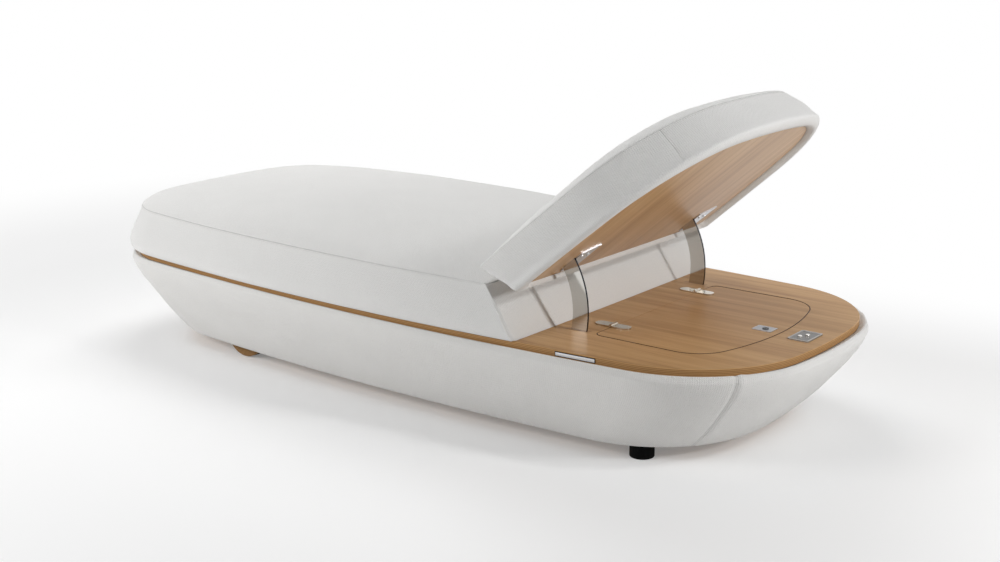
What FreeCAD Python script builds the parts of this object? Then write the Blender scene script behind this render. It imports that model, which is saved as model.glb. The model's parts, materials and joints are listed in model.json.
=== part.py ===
import FreeCAD, Part
import math
import os
import re

# Driving sizes in millimetres and degrees, x to the head end, z up from the floor

driving = {
    "deck_length": 2100.0,
    "deck_half_width": 445.0,
    "deck_wide_at": 120.0,
    "deck_thick": 18.0,
    "deck_top": 255.0,
    "deck_edge_round": 2.0,
    "head_end_radius": 1300.0,
    "head_corner_radius": 305.0,
    "side_radius": 7500.0,
    "foot_end_radius": 1600.0,
    "foot_corner_radius": 235.0,
    "hull_bottom": 32.0,
    "hull_head_draw": 135.0,
    "hull_foot_draw": 150.0,
    "hull_side_draw": 62.0,
    "hull_swell": 12.0,
    "hull_wall": 10.0,
    "board_thick": 10.0,
    "rail_thick": 18.0,
    "rail_from_rim": 205.0,
    "rail_foot_margin": 279.0,
    "rail_head_margin": 680.0,
    "rib_head_margin": 750.0,
    "bearer_from_rim": 145.0,
    "bearer_foot_margin": 750.0,
    "bearer_head_margin": 370.0,
    "rib_middle_reach": 120.0,
    "rib_window_half": 60.0,
    "rib_window_foot": 22.0,
    "rib_window_head": 20.0,
    "foot_radius": 29.0,
    "foot_head_margin": 305.0,
    "foot_from_rim": 141.0,
    "foot_round": 2.0,
    "wheel_radius": 70.0,
    "wheel_foot_margin": 519.0,
    "tyre_inset": 106.0,
    "tyre_width": 16.0,
    "tyre_round": 4.0,
    "disc_width": 12.0,
    "disc_less": 1.0,
    "disc_round": 1.5,
    "axle_radius": 6.0,
    "housing_wall": 4.0,
    "housing_play": 3.0,
    "housing_side_play": 2.0,
    "slot_play": 2.0,
    "pad_seam": 121.0,
    "pad_crown": 42.0,
    "pad_crown_run": 290.0,
    "pad_draw": 10.0,
    "pad_corner_radius": 32.0,
    "pad_corner_least": 8.0,
    "pad_end_radius": 30000.0,
    "pad_rim_inset": 2.0,
    "mattress_head_margin": 568.0,
    "mattress_slant": 0.70,
    "back_foot_margin": 557.0,
    "back_slant": 0.5636,
    "back_low": 1.5,
    "back_seam": 111.0,
    "back_crown": 34.0,
    "back_board_rise": 13.0,
    "back_board_thick": 15.0,
    "back_board_foot_margin": 555.0,
    "back_board_tip_margin": 31.5,
    "back_board_from_rim": 53.0,
    "back_board_wide_margin": 490.0,
    "back_board_side_radius": 1300.0,
    "back_board_head_radius": 1265.0,
    "back_board_head_corner": 225.0,
    "back_board_foot_corner": 34.0,
    "back_angle": 40.5,
    "pivot_margin": 716.0,
    "pivot_rise": 40.0,
    "blade_outer": 235.0,
    "blade_inner": 193.0,
    "blade_thick": 5.0,
    "blade_from_board_side": 122.0,
    "blade_end_angle": 74.0,
    "lug_radius": 16.0,
    "blade_side_play": 0.3,
    "blade_edge_play": 0.5,
    "guide_foot_reach": 152.0,
    "guide_head_reach": 244.0,
    "guide_depth": 30.0,
    "guide_half": 14.0,
    "collar_foot_reach": 176.0,
    "collar_head_reach": 240.0,
    "collar_half": 9.0,
    "flange_width": 56.0,
    "flange_foot_reach": 175.0,
    "flange_head_reach": 278.0,
    "flange_cut": 22.0,
    "flange_thick": 3.0,
    "screw_radius": 2.2,
    "screw_head_radius": 4.5,
    "screw_head_height": 2.0,
    "screw_length": 12.0,
    "screw_margin": 16.0,
    "tube_radius": 11.0,
    "tube_wall": 2.0,
    "drive_angle": 83.0,
    "drive_radius": 212.0,
    "drive_pin_radius": 5.0,
    "drive_lug_thick": 6.0,
    "drive_lug_round": 14.0,
    "drive_lug_wrap": 16.0,
    "eye_half": 8.0,
    "eye_side_play": 1.0,
    "eye_wall": 6.0,
    "eye_slack": 2.5,
    "eye_slack_ahead": 5.6,
    "eye_slack_behind": 2.6,
    "actuator_reach": 234.0,
    "actuator_rise": 140.0,
    "housing_radius": 22.0,
    "housing_length": 250.0,
    "housing_start": 17.0,
    "housing_back_radius": 12.0,
    "rod_radius": 8.0,
    "rod_start": 160.0,
    "rod_play": 0.3,
    "motor_radius": 23.0,
    "motor_length": 95.0,
    "motor_start": 22.0,
    "motor_offset": 46.0,
    "bracket_inner": 25.0,
    "bracket_thick": 5.0,
    "bracket_half_length": 22.0,
    "bracket_pin_radius": 5.0,
    "lid_hinge_margin": 460.0,
    "lid_tip_margin": 121.0,
    "lid_from_rim": 166.0,
    "lid_end_radius": 700.0,
    "lid_corner_radius": 95.0,
    "lid_foot_corner": 20.0,
    "lid_gap": 1.5,
    "tub_wall": 4.0,
    "tub_floor": 84.0,
    "tub_rim_out": 12.0,
    "tub_rim_in": 14.0,
    "hinge_length": 95.0,
    "hinge_width": 30.0,
    "hinge_plate": 4.0,
    "hinge_from_lid_side": 84.0,
    "knuckle_radius": 3.9,
    "knuckle_rise": 4.1,
    "knuckle_length": 28.0,
    "knuckle_middle": 10.0,
    "hinge_pin_radius": 1.5,
    "lock_length": 49.0,
    "lock_head_margin": 19.0,
    "lock_hole_margin": 41.0,
    "lock_half": 18.5,
    "lock_plate_thick": 2.0,
    "barrel_radius": 5.5,
    "barrel_head_radius": 7.5,
    "barrel_head_height": 1.6,
    "cam_length": 27.0,
    "cam_half": 5.0,
    "cam_thick": 2.5,
    "cam_drop": 9.0,
    "keeper_margin": 23.0,
    "keeper_half": 9.0,
    "keeper_thick": 2.0,
    "plate_margin": 34.0,
    "plate_length": 53.0,
    "plate_half": 40.0,
    "plate_thick": 3.0,
    "plate_rim": 4.0,
    "plate_recess": 1.0,
    "plate_round": 5.0,
    "button_radius": 5.0,
    "button_rise": 3.0,
    "button_travel": 1.5,
    "button_stem_radius": 2.0,
    "raise_reach": 20.0,
    "lower_reach": 31.0,
    "raise_side": -14.0,
    "lower_side": 4.0,
    "switch_inset": 5.0,
    "switch_length": 40.0,
    "switch_half": 28.0,
    "switch_depth": 22.0,
    "label_margin": 462.0,
    "label_length": 104.0,
    "label_height": 11.0,
    "label_thick": 1.0,
    "battery_length": 190.0,
    "battery_half": 75.0,
    "battery_height": 70.0,
    "supply_apart": 20.0,
    "box_reach": 290.0,
    "box_length": 120.0,
    "box_half": 55.0,
    "box_height": 46.0,
    "box_round": 4.0,
    "shaft_play": 0.05,
    "fit_gap": 0.3,
    "hinge_gap": 0.3,
    "overrun": 2.0,
}

# Places that follow from the sizes, measured from the deck's tips and rim, the pivot or the lid

derived = {
    "rail_inner": "deck_half_width - rail_from_rim",
    "rail_foot_end": "rail_foot_margin - deck_length / 2",
    "rail_head_end": "deck_length / 2 - rail_head_margin",
    "rib_head_at": "deck_length / 2 - rib_head_margin",
    "bearer_inner": "deck_half_width - bearer_from_rim",
    "bearer_foot_end": "deck_length / 2 - bearer_foot_margin",
    "bearer_head_end": "deck_length / 2 - bearer_head_margin",
    "foot_at": "deck_length / 2 - foot_head_margin",
    "foot_apart_half": "deck_half_width - foot_from_rim",
    "wheel_at": "wheel_foot_margin - deck_length / 2",
    "wheel_run": "deck_wide_at - wheel_at + wheel_radius",
    "side_fall": "side_radius - sqrt(side_radius ^ 2 - wheel_run ^ 2)",
    "tyre_inner": "deck_half_width - side_fall - tyre_inset",
    "mattress_head_end": "deck_length / 2 - mattress_head_margin",
    "back_foot_end": "deck_length / 2 - back_foot_margin",
    "back_board_foot": "deck_length / 2 - back_board_foot_margin",
    "back_board_tip": "deck_length / 2 - back_board_tip_margin",
    "back_board_wide_at": "deck_length / 2 - back_board_wide_margin",
    "back_board_half": "deck_half_width - back_board_from_rim",
    "pivot_at": "deck_length / 2 - pivot_margin",
    "blade_apart_half": "back_board_half - blade_from_board_side",
    "guide_foot": "pivot_at + guide_foot_reach",
    "guide_head": "pivot_at + guide_head_reach",
    "collar_foot": "pivot_at + collar_foot_reach",
    "collar_head": "pivot_at + collar_head_reach",
    "flange_foot": "pivot_at + flange_foot_reach",
    "flange_head": "pivot_at + flange_head_reach",
    "actuator_at": "pivot_at - actuator_reach",
    "lid_hinge_at": "deck_length / 2 - lid_hinge_margin",
    "lid_foot": "lid_hinge_at + lid_gap",
    "lid_tip": "deck_length / 2 - lid_tip_margin",
    "lid_half": "deck_half_width - lid_from_rim",
    "hinge_apart_half": "lid_half - hinge_from_lid_side",
    "lock_head": "lid_tip - lock_head_margin",
    "lock_foot": "lock_head - lock_length",
    "lock_hole_at": "lid_tip - lock_hole_margin",
    "keeper_foot": "lid_tip - keeper_margin",
    "plate_head": "deck_length / 2 - plate_margin",
    "plate_foot": "plate_head - plate_length",
    "raise_at": "plate_foot + raise_reach",
    "lower_at": "plate_foot + lower_reach",
    "switch_foot": "plate_foot + switch_inset",
    "switch_head": "switch_foot + switch_length",
    "label_foot": "deck_length / 2 - label_margin",
    "label_head": "label_foot + label_length",
    "rib_middle_at": "actuator_at - rib_middle_reach",
    "box_foot": "actuator_at - box_reach",
    "battery_foot": "box_foot - supply_apart - battery_length",
}

doc = FreeCAD.newDocument("lounger")
sheet = doc.addObject("Spreadsheet::Sheet", "sizes")
cells = [(alias, repr(amount)) for alias, amount in driving.items()]
cells += [(alias, "=" + formula) for alias, formula in derived.items()]
for row, (alias, content) in enumerate(cells, start=1):
    sheet.set("A%d" % row, alias)
    sheet.set("B%d" % row, content)
    sheet.setAlias("B%d" % row, alias)
doc.recompute()

pieces = []
vector = FreeCAD.Vector


def number(text):
    found = sheet.evalExpression(text)
    return float(getattr(found, "Value", found))


def bound(text):
    def swap(word):
        known = word.group(0) in driving or word.group(0) in derived
        return "sizes." + word.group(0) if known else word.group(0)
    return re.sub(r"[a-z][a-z_]*", swap, text)


# Places that several pieces share, worked out from the sizes

deck_under = "deck_top - deck_thick"
floor_top = "hull_bottom + board_thick"
pivot_height = "deck_top + pivot_rise"
back_under = "deck_top + back_board_rise"
back_top = back_under + " + back_board_thick"
blade_middle = "(blade_outer + blade_inner) / 2"
head_tip = number("deck_length / 2")
foot_tip = -head_tip
pivot = vector(number("pivot_at"), 0, number(pivot_height))
up = vector(0, 0, 1)
across = vector(0, 1, 0)
along = vector(1, 0, 0)


def named(item, label, placed=None):
    if placed is not None:
        item.Placement = placed.multiply(item.Placement)
    item.Label = label
    pieces.append(item)
    return item


# Makers of primitives bound to the sheet

def block(name, x, y, z):
    item = doc.addObject("Part::Box", name)
    for axis, side, pair in (("x", "Length", x), ("y", "Width", y), ("z", "Height", z)):
        item.setExpression(side, bound("(%s) - (%s)" % (pair[1], pair[0])))
        item.setExpression("Placement.Base." + axis, bound(pair[0]))
    return item


def round_bar(name, radius, axis, span, side_one, side_two):
    item = doc.addObject("Part::Cylinder", name)
    item.setExpression("Radius", bound(radius))
    item.setExpression("Height", bound("(%s) - (%s)" % (span[1], span[0])))
    item.Placement.Rotation = FreeCAD.Rotation(up, {"x": along, "y": across, "z": up}[axis])
    places = {"x": (span[0], side_one, side_two), "y": (side_one, span[0], side_two),
              "z": (side_one, side_two, span[0])}[axis]
    for letter, place in zip("xyz", places):
        item.setExpression("Placement.Base." + letter, bound(place))
    return item


def cut(name, base, *tools):
    for count, tool in enumerate(tools):
        item = doc.addObject("Part::Cut", name + "_cut%d" % count)
        item.Base = base
        item.Tool = tool
        base = item
    return base


def joined(name, *parts):
    item = doc.addObject("Part::MultiFuse", name)
    item.Shapes = list(parts)
    return item


def rounded(name, base, radius, chosen):
    doc.recompute()
    item = doc.addObject("Part::Fillet", name)
    item.Base = base
    amount = number(radius)
    edges = [i + 1 for i, edge in enumerate(base.Shape.Edges) if chosen(edge)]
    item.Edges = [(i, amount, amount) for i in edges]
    return item


def solid(name, shape):
    item = doc.addObject("Part::Feature", name)
    item.Shape = shape
    return item


def mirrored_sides():
    return (("right", "-1"), ("left", "1"))


def side_span(sign, low, high):
    if sign == "1":
        return (low, high)
    return ("-(%s)" % high, "-(%s)" % low)


# Outlines of eight arcs: two ends, four corners and two long sides

def tangent_corner(tip, way, end_radius, corner_radius, side_radius, wide_at, half_width):
    end_middle = vector(tip - way * end_radius, 0, 0)
    side_middle = vector(wide_at, half_width - side_radius, 0)
    reach = end_radius - corner_radius
    span = side_radius - corner_radius
    gap = side_middle - end_middle
    far = gap.Length
    forth = (reach * reach - span * span + far * far) / (2 * far)
    aside = math.sqrt(reach * reach - forth * forth)
    unit = gap / far
    normal = vector(-unit.y, unit.x, 0)
    both = [end_middle + unit * forth + normal * aside * turn for turn in (1, -1)]
    middle = max(both, key=lambda point: way * point.x)
    to_end = (middle - end_middle).normalize()
    to_side = (middle - side_middle).normalize()
    between = (to_end + to_side).normalize()
    spots = [middle + spot * corner_radius for spot in (to_end, between, to_side)]
    return spots, side_middle


def flipped(point):
    return vector(point.x, -point.y, point.z)


def outline(head, foot, side_radius, wide_at, half_width, height=0.0):
    head_spots, side_middle = tangent_corner(head[0], 1, head[1], head[2], side_radius, wide_at, half_width)
    foot_spots, side_middle = tangent_corner(foot[0], -1, foot[1], foot[2], side_radius, wide_at, half_width)
    middle = ((head_spots[2] - side_middle) + (foot_spots[2] - side_middle)).normalize()
    side_spot = side_middle + middle * side_radius
    trios = [(flipped(head_spots[0]), vector(head[0], 0, 0), head_spots[0]),
             (head_spots[0], head_spots[1], head_spots[2]),
             (head_spots[2], side_spot, foot_spots[2]),
             (foot_spots[2], foot_spots[1], foot_spots[0]),
             (foot_spots[0], vector(foot[0], 0, 0), flipped(foot_spots[0])),
             (flipped(foot_spots[0]), flipped(foot_spots[1]), flipped(foot_spots[2])),
             (flipped(foot_spots[2]), flipped(side_spot), flipped(head_spots[2])),
             (flipped(head_spots[2]), flipped(head_spots[1]), flipped(head_spots[0]))]
    lift = vector(0, 0, height)
    return [Part.Arc(one + lift, two + lift, three + lift) for one, two, three in trios]


def wire_of(arcs):
    return Part.Wire([arc.toShape() for arc in arcs])


def loft_of(wires):
    return Part.makeLoft(wires, True, False, False, loft_degree)


loft_degree = 3


# Bodies of one sketch and one pad, drawn on the ground plane or the long upright plane

def plane_of(body, role):
    return [feature for feature in body.Origin.OriginFeatures if feature.Role == role][0]


def sketch_on(body, name, role, curves):
    sketch = body.newObject("Sketcher::SketchObject", name)
    sketch.AttachmentSupport = (plane_of(body, role), [""])
    sketch.MapMode = "FlatFace"
    for curve in curves:
        sketch.addGeometry(curve, False)
    return sketch


def padded_body(name, curves, length, role="XY_Plane", midplane=False):
    body = doc.addObject("PartDesign::Body", name)
    sketch = sketch_on(body, name + "_sketch", role, curves)
    pad = body.newObject("PartDesign::Pad", name + "_pad")
    pad.Profile = sketch
    pad.setExpression("Length", bound(length))
    pad.Midplane = midplane
    body.Tip = pad
    return body


def loop(points):
    spots = [vector(x, y, 0) for x, y in points]
    return [Part.LineSegment(one, two) for one, two in zip(spots, spots[1:] + spots[:1])]


def lifted(body, height):
    body.setExpression("Placement.Base.z", bound(height))
    return body


# The deck and what is cut out of it

def deck_outline(inset=0.0, height=0.0):
    head = (head_tip - inset, number("head_end_radius") - inset, number("head_corner_radius") - inset)
    foot = (foot_tip + inset, number("foot_end_radius") - inset, number("foot_corner_radius") - inset)
    return outline(head, foot, number("side_radius") - inset, number("deck_wide_at"),
                   number("deck_half_width") - inset, height)


def lid_outline(grow=0.0):
    tip = number("lid_tip") + grow
    foot = number("lid_foot") - grow
    half = number("lid_half") + grow
    corner = number("lid_corner_radius") + grow
    small = number("lid_foot_corner") + grow
    end = number("lid_end_radius") + grow
    middle_y = half - corner
    middle_x = tip - end + math.sqrt((end - corner) ** 2 - middle_y ** 2)
    way = vector(middle_x - tip + end, middle_y, 0).normalize()
    meet = vector(middle_x, middle_y, 0) + way * corner
    half_way = (way + across).normalize()
    bend = vector(middle_x, middle_y, 0) + half_way * corner
    top = vector(middle_x, half, 0)
    diagonal = small * (1 - math.sqrt(0.5))
    low_top = vector(foot + small, half, 0)
    low_bend = vector(foot + diagonal, half - diagonal, 0)
    low_side = vector(foot, half - small, 0)
    return [Part.Arc(flipped(meet), vector(tip, 0, 0), meet), Part.Arc(meet, bend, top),
            Part.LineSegment(top, low_top), Part.Arc(low_top, low_bend, low_side),
            Part.LineSegment(low_side, flipped(low_side)),
            Part.Arc(flipped(low_side), flipped(low_bend), flipped(low_top)),
            Part.LineSegment(flipped(low_top), flipped(top)),
            Part.Arc(flipped(top), flipped(bend), flipped(meet))]


def pocket(body, name, curves):
    before = body.Tip
    sketch = sketch_on(body, name + "_sketch", "XY_Plane", curves)
    item = body.newObject("PartDesign::Pocket", name)
    item.Profile = sketch
    item.Type = "ThroughAll"
    item.Reversed = True
    doc.recompute()
    if item.Shape.Volume >= before.Shape.Volume:
        item.Reversed = False
    body.Tip = item
    return item


def rectangle(x, y):
    low_x, high_x, low_y, high_y = number(x[0]), number(x[1]), number(y[0]), number(y[1])
    return loop([(low_x, low_y), (high_x, low_y), (high_x, high_y), (low_x, high_y)])


def make_deck():
    body = padded_body("deck", deck_outline(), "deck_thick")
    doc.recompute()
    pocket(body, "lid_opening", lid_outline(number("lid_gap")))
    for hand, sign in mirrored_sides():
        span = side_span(sign, "blade_apart_half - collar_half", "blade_apart_half + collar_half")
        pocket(body, "blade_slot_" + hand, rectangle(("collar_foot", "collar_head"), span))
    pocket(body, "switch_opening", rectangle(("switch_foot - fit_gap", "switch_head + fit_gap"),
                                             ("-switch_half - fit_gap", "switch_half + fit_gap")))
    doc.recompute()
    rim = [edge for edge, curve in enumerate(body.Shape.Edges, start=1) if is_rim(curve)]
    carved = body.Tip
    fillet = body.newObject("PartDesign::Fillet", "rim_round")
    fillet.Base = (carved, ["Edge%d" % edge for edge in rim])
    fillet.setExpression("Radius", bound("deck_edge_round"))
    body.Tip = fillet
    lifted(body, deck_under)
    named(body, "deck_board")


def is_rim(edge):
    low = min(vertex.Z for vertex in edge.Vertexes)
    high = max(vertex.Z for vertex in edge.Vertexes)
    spots = deck_outline(0.0)
    middle = edge.valueAt((edge.FirstParameter + edge.LastParameter) / 2)
    on_rim = min(arc.toShape().distToShape(Part.Vertex(middle.x, middle.y, 0))[0] for arc in spots)
    flat = high - low < number("fit_gap")
    return flat and on_rim < number("fit_gap")


# The padded skirt, lofted through its levels, and the board inside its foot

def hull_wire(height, inset):
    drop = (number(deck_under) - height) / number("%s - hull_bottom" % deck_under)
    head = number("hull_head_draw") * drop ** head_draw_share
    foot = number("hull_foot_draw") * drop ** foot_draw_share
    side = number("hull_side_draw") * drop ** side_draw_share
    swell = 0.0
    if drop < swell_end_share:
        swell = number("hull_swell") * math.sin(math.pi * drop / swell_end_share) ** 2
    grow = swell - inset
    head_end = (head_tip - head + grow, number("head_end_radius") - head * head_radius_share + grow,
                number("head_corner_radius") - side * corner_radius_share + grow)
    foot_end = (foot_tip + foot - grow, number("foot_end_radius") + grow, number("foot_corner_radius") + grow)
    arcs = outline(head_end, foot_end, number("side_radius") - side + grow, number("deck_wide_at"),
                   number("deck_half_width") - side + grow, height)
    return wire_of(arcs)


head_draw_share = 1.67
foot_draw_share = 1.61
side_draw_share = 1.86
swell_end_share = 0.32
head_radius_share = 0.3
corner_radius_share = 0.18
hull_level_shares = (0.0, 0.08, 0.16, 0.24, 0.32, 0.45, 0.62, 0.82, 1.0)


def hull_loft(inset):
    top = number(deck_under)
    bottom = number("hull_bottom")
    return loft_of([hull_wire(top + (bottom - top) * share, inset) for share in hull_level_shares])


def make_skirt():
    named(solid("skirt", hull_loft(0.0).cut(hull_loft(number("hull_wall")))), "base_upholstery")


def make_bottom_board():
    low = number("hull_bottom")
    high = number(floor_top)
    inset = number("hull_wall + fit_gap")
    whole = hull_loft(inset)
    size = whole.BoundBox
    slab = Part.makeBox(size.XLength, size.YLength, high - low, vector(size.XMin, size.YMin, low))
    plain = solid("bottom_loft", whole.common(slab))
    slots = []
    for hand, sign in mirrored_sides():
        y = side_span(sign, "tyre_inner - slot_play", "tyre_inner + tyre_width + disc_width + slot_play")
        x = ("wheel_at - wheel_radius - slot_play", "wheel_at + wheel_radius + slot_play")
        z = ("hull_bottom - overrun", floor_top + " + overrun")
        slots.append(block("wheel_slot_" + hand, x, y, z))
    named(cut("bottom", plain, *slots), "bottom_board")


# The frame between the boards

def make_frame():
    height = (floor_top, deck_under)
    for hand, sign in mirrored_sides():
        y = side_span(sign, "rail_inner", "rail_inner + rail_thick")
        named(block("rail_" + hand, ("rail_foot_end", "rail_head_end"), y, height), "rail_" + hand)
        y = side_span(sign, "bearer_inner", "bearer_inner + rail_thick")
        named(block("bearer_" + hand, ("bearer_foot_end", "bearer_head_end"), y, height), "bearer_" + hand)
    wide = ("-rail_inner - rail_thick", "rail_inner + rail_thick")
    between = ("-rail_inner", "rail_inner")
    named(block("rib_foot", ("rail_foot_end - rail_thick", "rail_foot_end"), wide, height), "rib_foot")
    named(block("rib_middle", ("rib_middle_at - rail_thick / 2", "rib_middle_at + rail_thick / 2"),
                between, height), "rib_middle")
    plain = block("rib_head_plain", ("rib_head_at - rail_thick / 2", "rib_head_at + rail_thick / 2"),
                  between, height)
    window = block("rib_window", ("rib_head_at - rail_thick", "rib_head_at + rail_thick"),
                   ("-rib_window_half", "rib_window_half"),
                   (floor_top + " + rib_window_foot", deck_under + " - rib_window_head"))
    named(cut("rib_head", plain, window), "rib_head")


# Feet and wheels

def make_feet():
    for hand, sign in mirrored_sides():
        bar = round_bar("foot_bar_" + hand, "foot_radius", "z", ("0", "hull_bottom"),
                        "foot_at", sign + " * foot_apart_half")
        low = number("foot_round")
        item = rounded("foot_rounded_" + hand, bar, "foot_round",
                       lambda edge: edge.BoundBox.ZMax < low and len(edge.Vertexes) == 1)
        named(item, "foot_" + hand)


def make_wheels():
    tyre_out = "tyre_inner + tyre_width"
    disc_out = tyre_out + " + disc_width"
    bore = "axle_radius + shaft_play"
    for hand, sign in mirrored_sides():
        span = side_span(sign, "tyre_inner", tyre_out)
        bar = round_bar("tyre_bar_" + hand, "wheel_radius", "y", span, "wheel_at", "wheel_radius")
        soft = rounded("tyre_soft_" + hand, bar, "tyre_round", lambda edge: len(edge.Vertexes) == 1)
        hole = round_bar("tyre_hole_" + hand, bore, "y", (span[0] + " - overrun", span[1] + " + overrun"),
                         "wheel_at", "wheel_radius")
        named(cut("tyre_" + hand, soft, hole), "tyre_" + hand)
        span = side_span(sign, tyre_out, disc_out)
        bar = round_bar("disc_bar_" + hand, "wheel_radius - disc_less", "y", span, "wheel_at", "wheel_radius")
        soft = rounded("disc_soft_" + hand, bar, "disc_round", lambda edge: len(edge.Vertexes) == 1)
        hole = round_bar("disc_hole_" + hand, bore, "y", (span[0] + " - overrun", span[1] + " + overrun"),
                         "wheel_at", "wheel_radius")
        named(cut("disc_" + hand, soft, hole), "wheel_disc_" + hand)
        make_wheel_housing(hand, sign, disc_out)


def make_wheel_housing(hand, sign, disc_out):
    inner_y = ("tyre_inner - housing_side_play", disc_out + " + housing_side_play")
    reach = "wheel_radius + housing_play"
    y = side_span(sign, inner_y[0] + " - housing_wall", inner_y[1] + " + housing_wall")
    outer = block("wheel_box_" + hand, ("wheel_at - (%s) - housing_wall" % reach,
                                        "wheel_at + (%s) + housing_wall" % reach), y,
                  (floor_top, "2 * wheel_radius + housing_play + housing_wall"))
    inner = block("wheel_room_" + hand, ("wheel_at - (%s)" % reach, "wheel_at + (%s)" % reach),
                  side_span(sign, *inner_y), (floor_top + " - overrun", "2 * wheel_radius + housing_play"))
    span = side_span(sign, inner_y[0] + " - housing_wall", inner_y[1] + " + housing_wall")
    hole = round_bar("axle_hole_" + hand, "axle_radius + shaft_play", "y",
                     (span[0] + " - overrun", span[1] + " + overrun"), "wheel_at", "wheel_radius")
    named(cut("wheel_housing_" + hand, outer, inner, hole), "wheel_housing_" + hand)
    named(round_bar("axle_" + hand, "axle_radius", "y", span, "wheel_at", "wheel_radius"), "axle_" + hand)


# Pads: a lower loft with drawn-in sides up to the seam, and a crown above it

pad_side_shares = ((0.0, 0.4), (0.06, -0.1), (0.25, -0.8), (0.5, -0.8),
                   (0.75, -0.1), (0.92, 0.6), (1.0, 1.0))
pad_crown_shares = ((0.0, 0.0), (0.27, 0.03), (0.53, 0.1), (0.73, 0.22),
                    (0.87, 0.4), (0.97, 0.67), (1.0, 1.0))


def pad_solid(bottom, slanted_end, slant, way, seam, rise):
    deck = number("deck_top")
    rim = number("pad_rim_inset")
    draw = number("pad_draw")
    small = number("pad_corner_radius")
    least = number("pad_corner_least")
    flat_end = number("pad_end_radius")

    def level(height, inset, slant_height):
        tip = slanted_end - slant * (slant_height - deck) - way * max(inset - draw, 0.0)
        corner = max(small - inset, least)
        cut_end = (tip, flat_end, corner)
        inset_rim = inset + rim
        head = (head_tip - inset_rim, number("head_end_radius") - inset_rim,
                number("head_corner_radius") - inset_rim)
        foot = (foot_tip + inset_rim, number("foot_end_radius") - inset_rim,
                max(number("foot_corner_radius") - inset_rim, small))
        ends = (cut_end, foot) if way > 0 else (head, cut_end)
        return wire_of(outline(ends[0], ends[1], number("side_radius") - inset_rim,
                               number("deck_wide_at"), number("deck_half_width") - inset_rim, height))

    side = []
    for up_share, draw_share in pad_side_shares:
        height = bottom + (deck + seam - bottom) * up_share
        side.append(level(height, draw * draw_share, height))
    crown = []
    for up_share, run_share in pad_crown_shares:
        height = deck + seam + rise * up_share
        crown.append(level(height, draw + number("pad_crown_run") * run_share, deck + seam))
    return loft_of(side).fuse(loft_of(crown))


def make_mattress():
    shape = pad_solid(number("deck_top"), number("mattress_head_end"), number("mattress_slant"), 1,
                      number("pad_seam"), number("pad_crown"))
    named(solid("mattress_pad", shape), "mattress")


# The backrest, drawn as it lies flat, then turned up about its pivot

def placed_back(item, label):
    turn = FreeCAD.Placement(vector(), FreeCAD.Rotation(vector(0, -1, 0), number("back_angle")), vector())
    move = FreeCAD.Placement(pivot, FreeCAD.Rotation()).multiply(turn)
    move = move.multiply(FreeCAD.Placement(pivot * -1, FreeCAD.Rotation()))
    doc.recompute()
    return named(solid(label + "_raised", item.Shape.copy()), label, move)


def board_outline(grow=0.0):
    head = (number("back_board_tip") + grow, number("back_board_head_radius") + grow,
            number("back_board_head_corner") + grow)
    foot = (number("back_board_foot") - grow, number("pad_end_radius") + grow,
            number("back_board_foot_corner") + grow)
    return outline(head, foot, number("back_board_side_radius") + grow, number("back_board_wide_at"),
                   number("back_board_half") + grow)


def make_back_pads():
    back = number("back_foot_end")
    slant = number("back_slant")
    top = number(back_top + " + fit_gap")
    whole = pad_solid(number("deck_top + back_low"), back, slant, -1,
                      number("back_seam"), number("back_crown"))
    size = whole.BoundBox
    corner = vector(size.XMin - size.XLength / 2, size.YMin - size.YLength / 2, top - size.ZLength)
    lower = Part.makeBox(size.XLength * 2, size.YLength * 2, size.ZLength, corner)
    room = Part.Face(wire_of(board_outline(number("fit_gap")))).extrude(up * number("deck_top") * 2)
    placed_back(solid("back_pad", whole.cut(lower)), "backrest_cushion")
    placed_back(solid("back_roll", whole.common(lower).cut(room)), "backrest_border")


def make_back_board():
    body = lifted(padded_body("back_board", board_outline(), "back_board_thick"), back_under)
    holes = [round_bar("board_hole_%d" % count, "screw_radius + shaft_play", "z",
                       (back_under + " - overrun", back_under + " + screw_length - flange_thick + fit_gap"),
                       x, y) for count, (x, y) in enumerate(screw_places())]
    placed_back(cut("back_board_drilled", body, *holes), "backrest_board")


def screw_places():
    places = []
    for hand, sign in mirrored_sides():
        edge = sign + " * blade_apart_half + blade_thick / 2"
        for x in ("flange_foot + screw_margin", "flange_head - flange_cut - screw_margin"):
            for y in (edge + " + screw_margin", edge + " + flange_width - screw_margin"):
                places.append((x, y))
    return places


# Blades, their flanges and screws

def blade_curves():
    outer = number("blade_outer")
    inner = number("blade_inner")
    middle = number(blade_middle)
    top = number(back_under) - pivot.z
    low = -math.radians(number("blade_end_angle"))
    lug = number("lug_radius")
    lug_middle = vector(pivot.x + middle * math.cos(low), pivot.z + middle * math.sin(low), 0)

    def spot(radius, angle):
        return vector(pivot.x + radius * math.cos(angle), pivot.z + radius * math.sin(angle), 0)

    top_outer = math.asin(top / outer)
    top_inner = math.asin(top / inner)
    start = low + math.asin(lug / middle)
    outer_low = spot(outer, start)
    inner_low = spot(inner, start)
    outward = spot(middle + lug, low)
    inward = spot(middle - lug, low)
    tail = spot(middle, low - math.asin(lug / middle))
    return [Part.Arc(spot(outer, top_outer), spot(outer, (top_outer + start) / 2), outer_low),
            Part.LineSegment(outer_low, outward), Part.Arc(outward, tail, inward),
            Part.LineSegment(inward, inner_low),
            Part.Arc(inner_low, spot(inner, (top_inner + start) / 2), spot(inner, top_inner)),
            Part.LineSegment(spot(inner, top_inner), spot(outer, top_outer))], lug_middle


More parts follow.
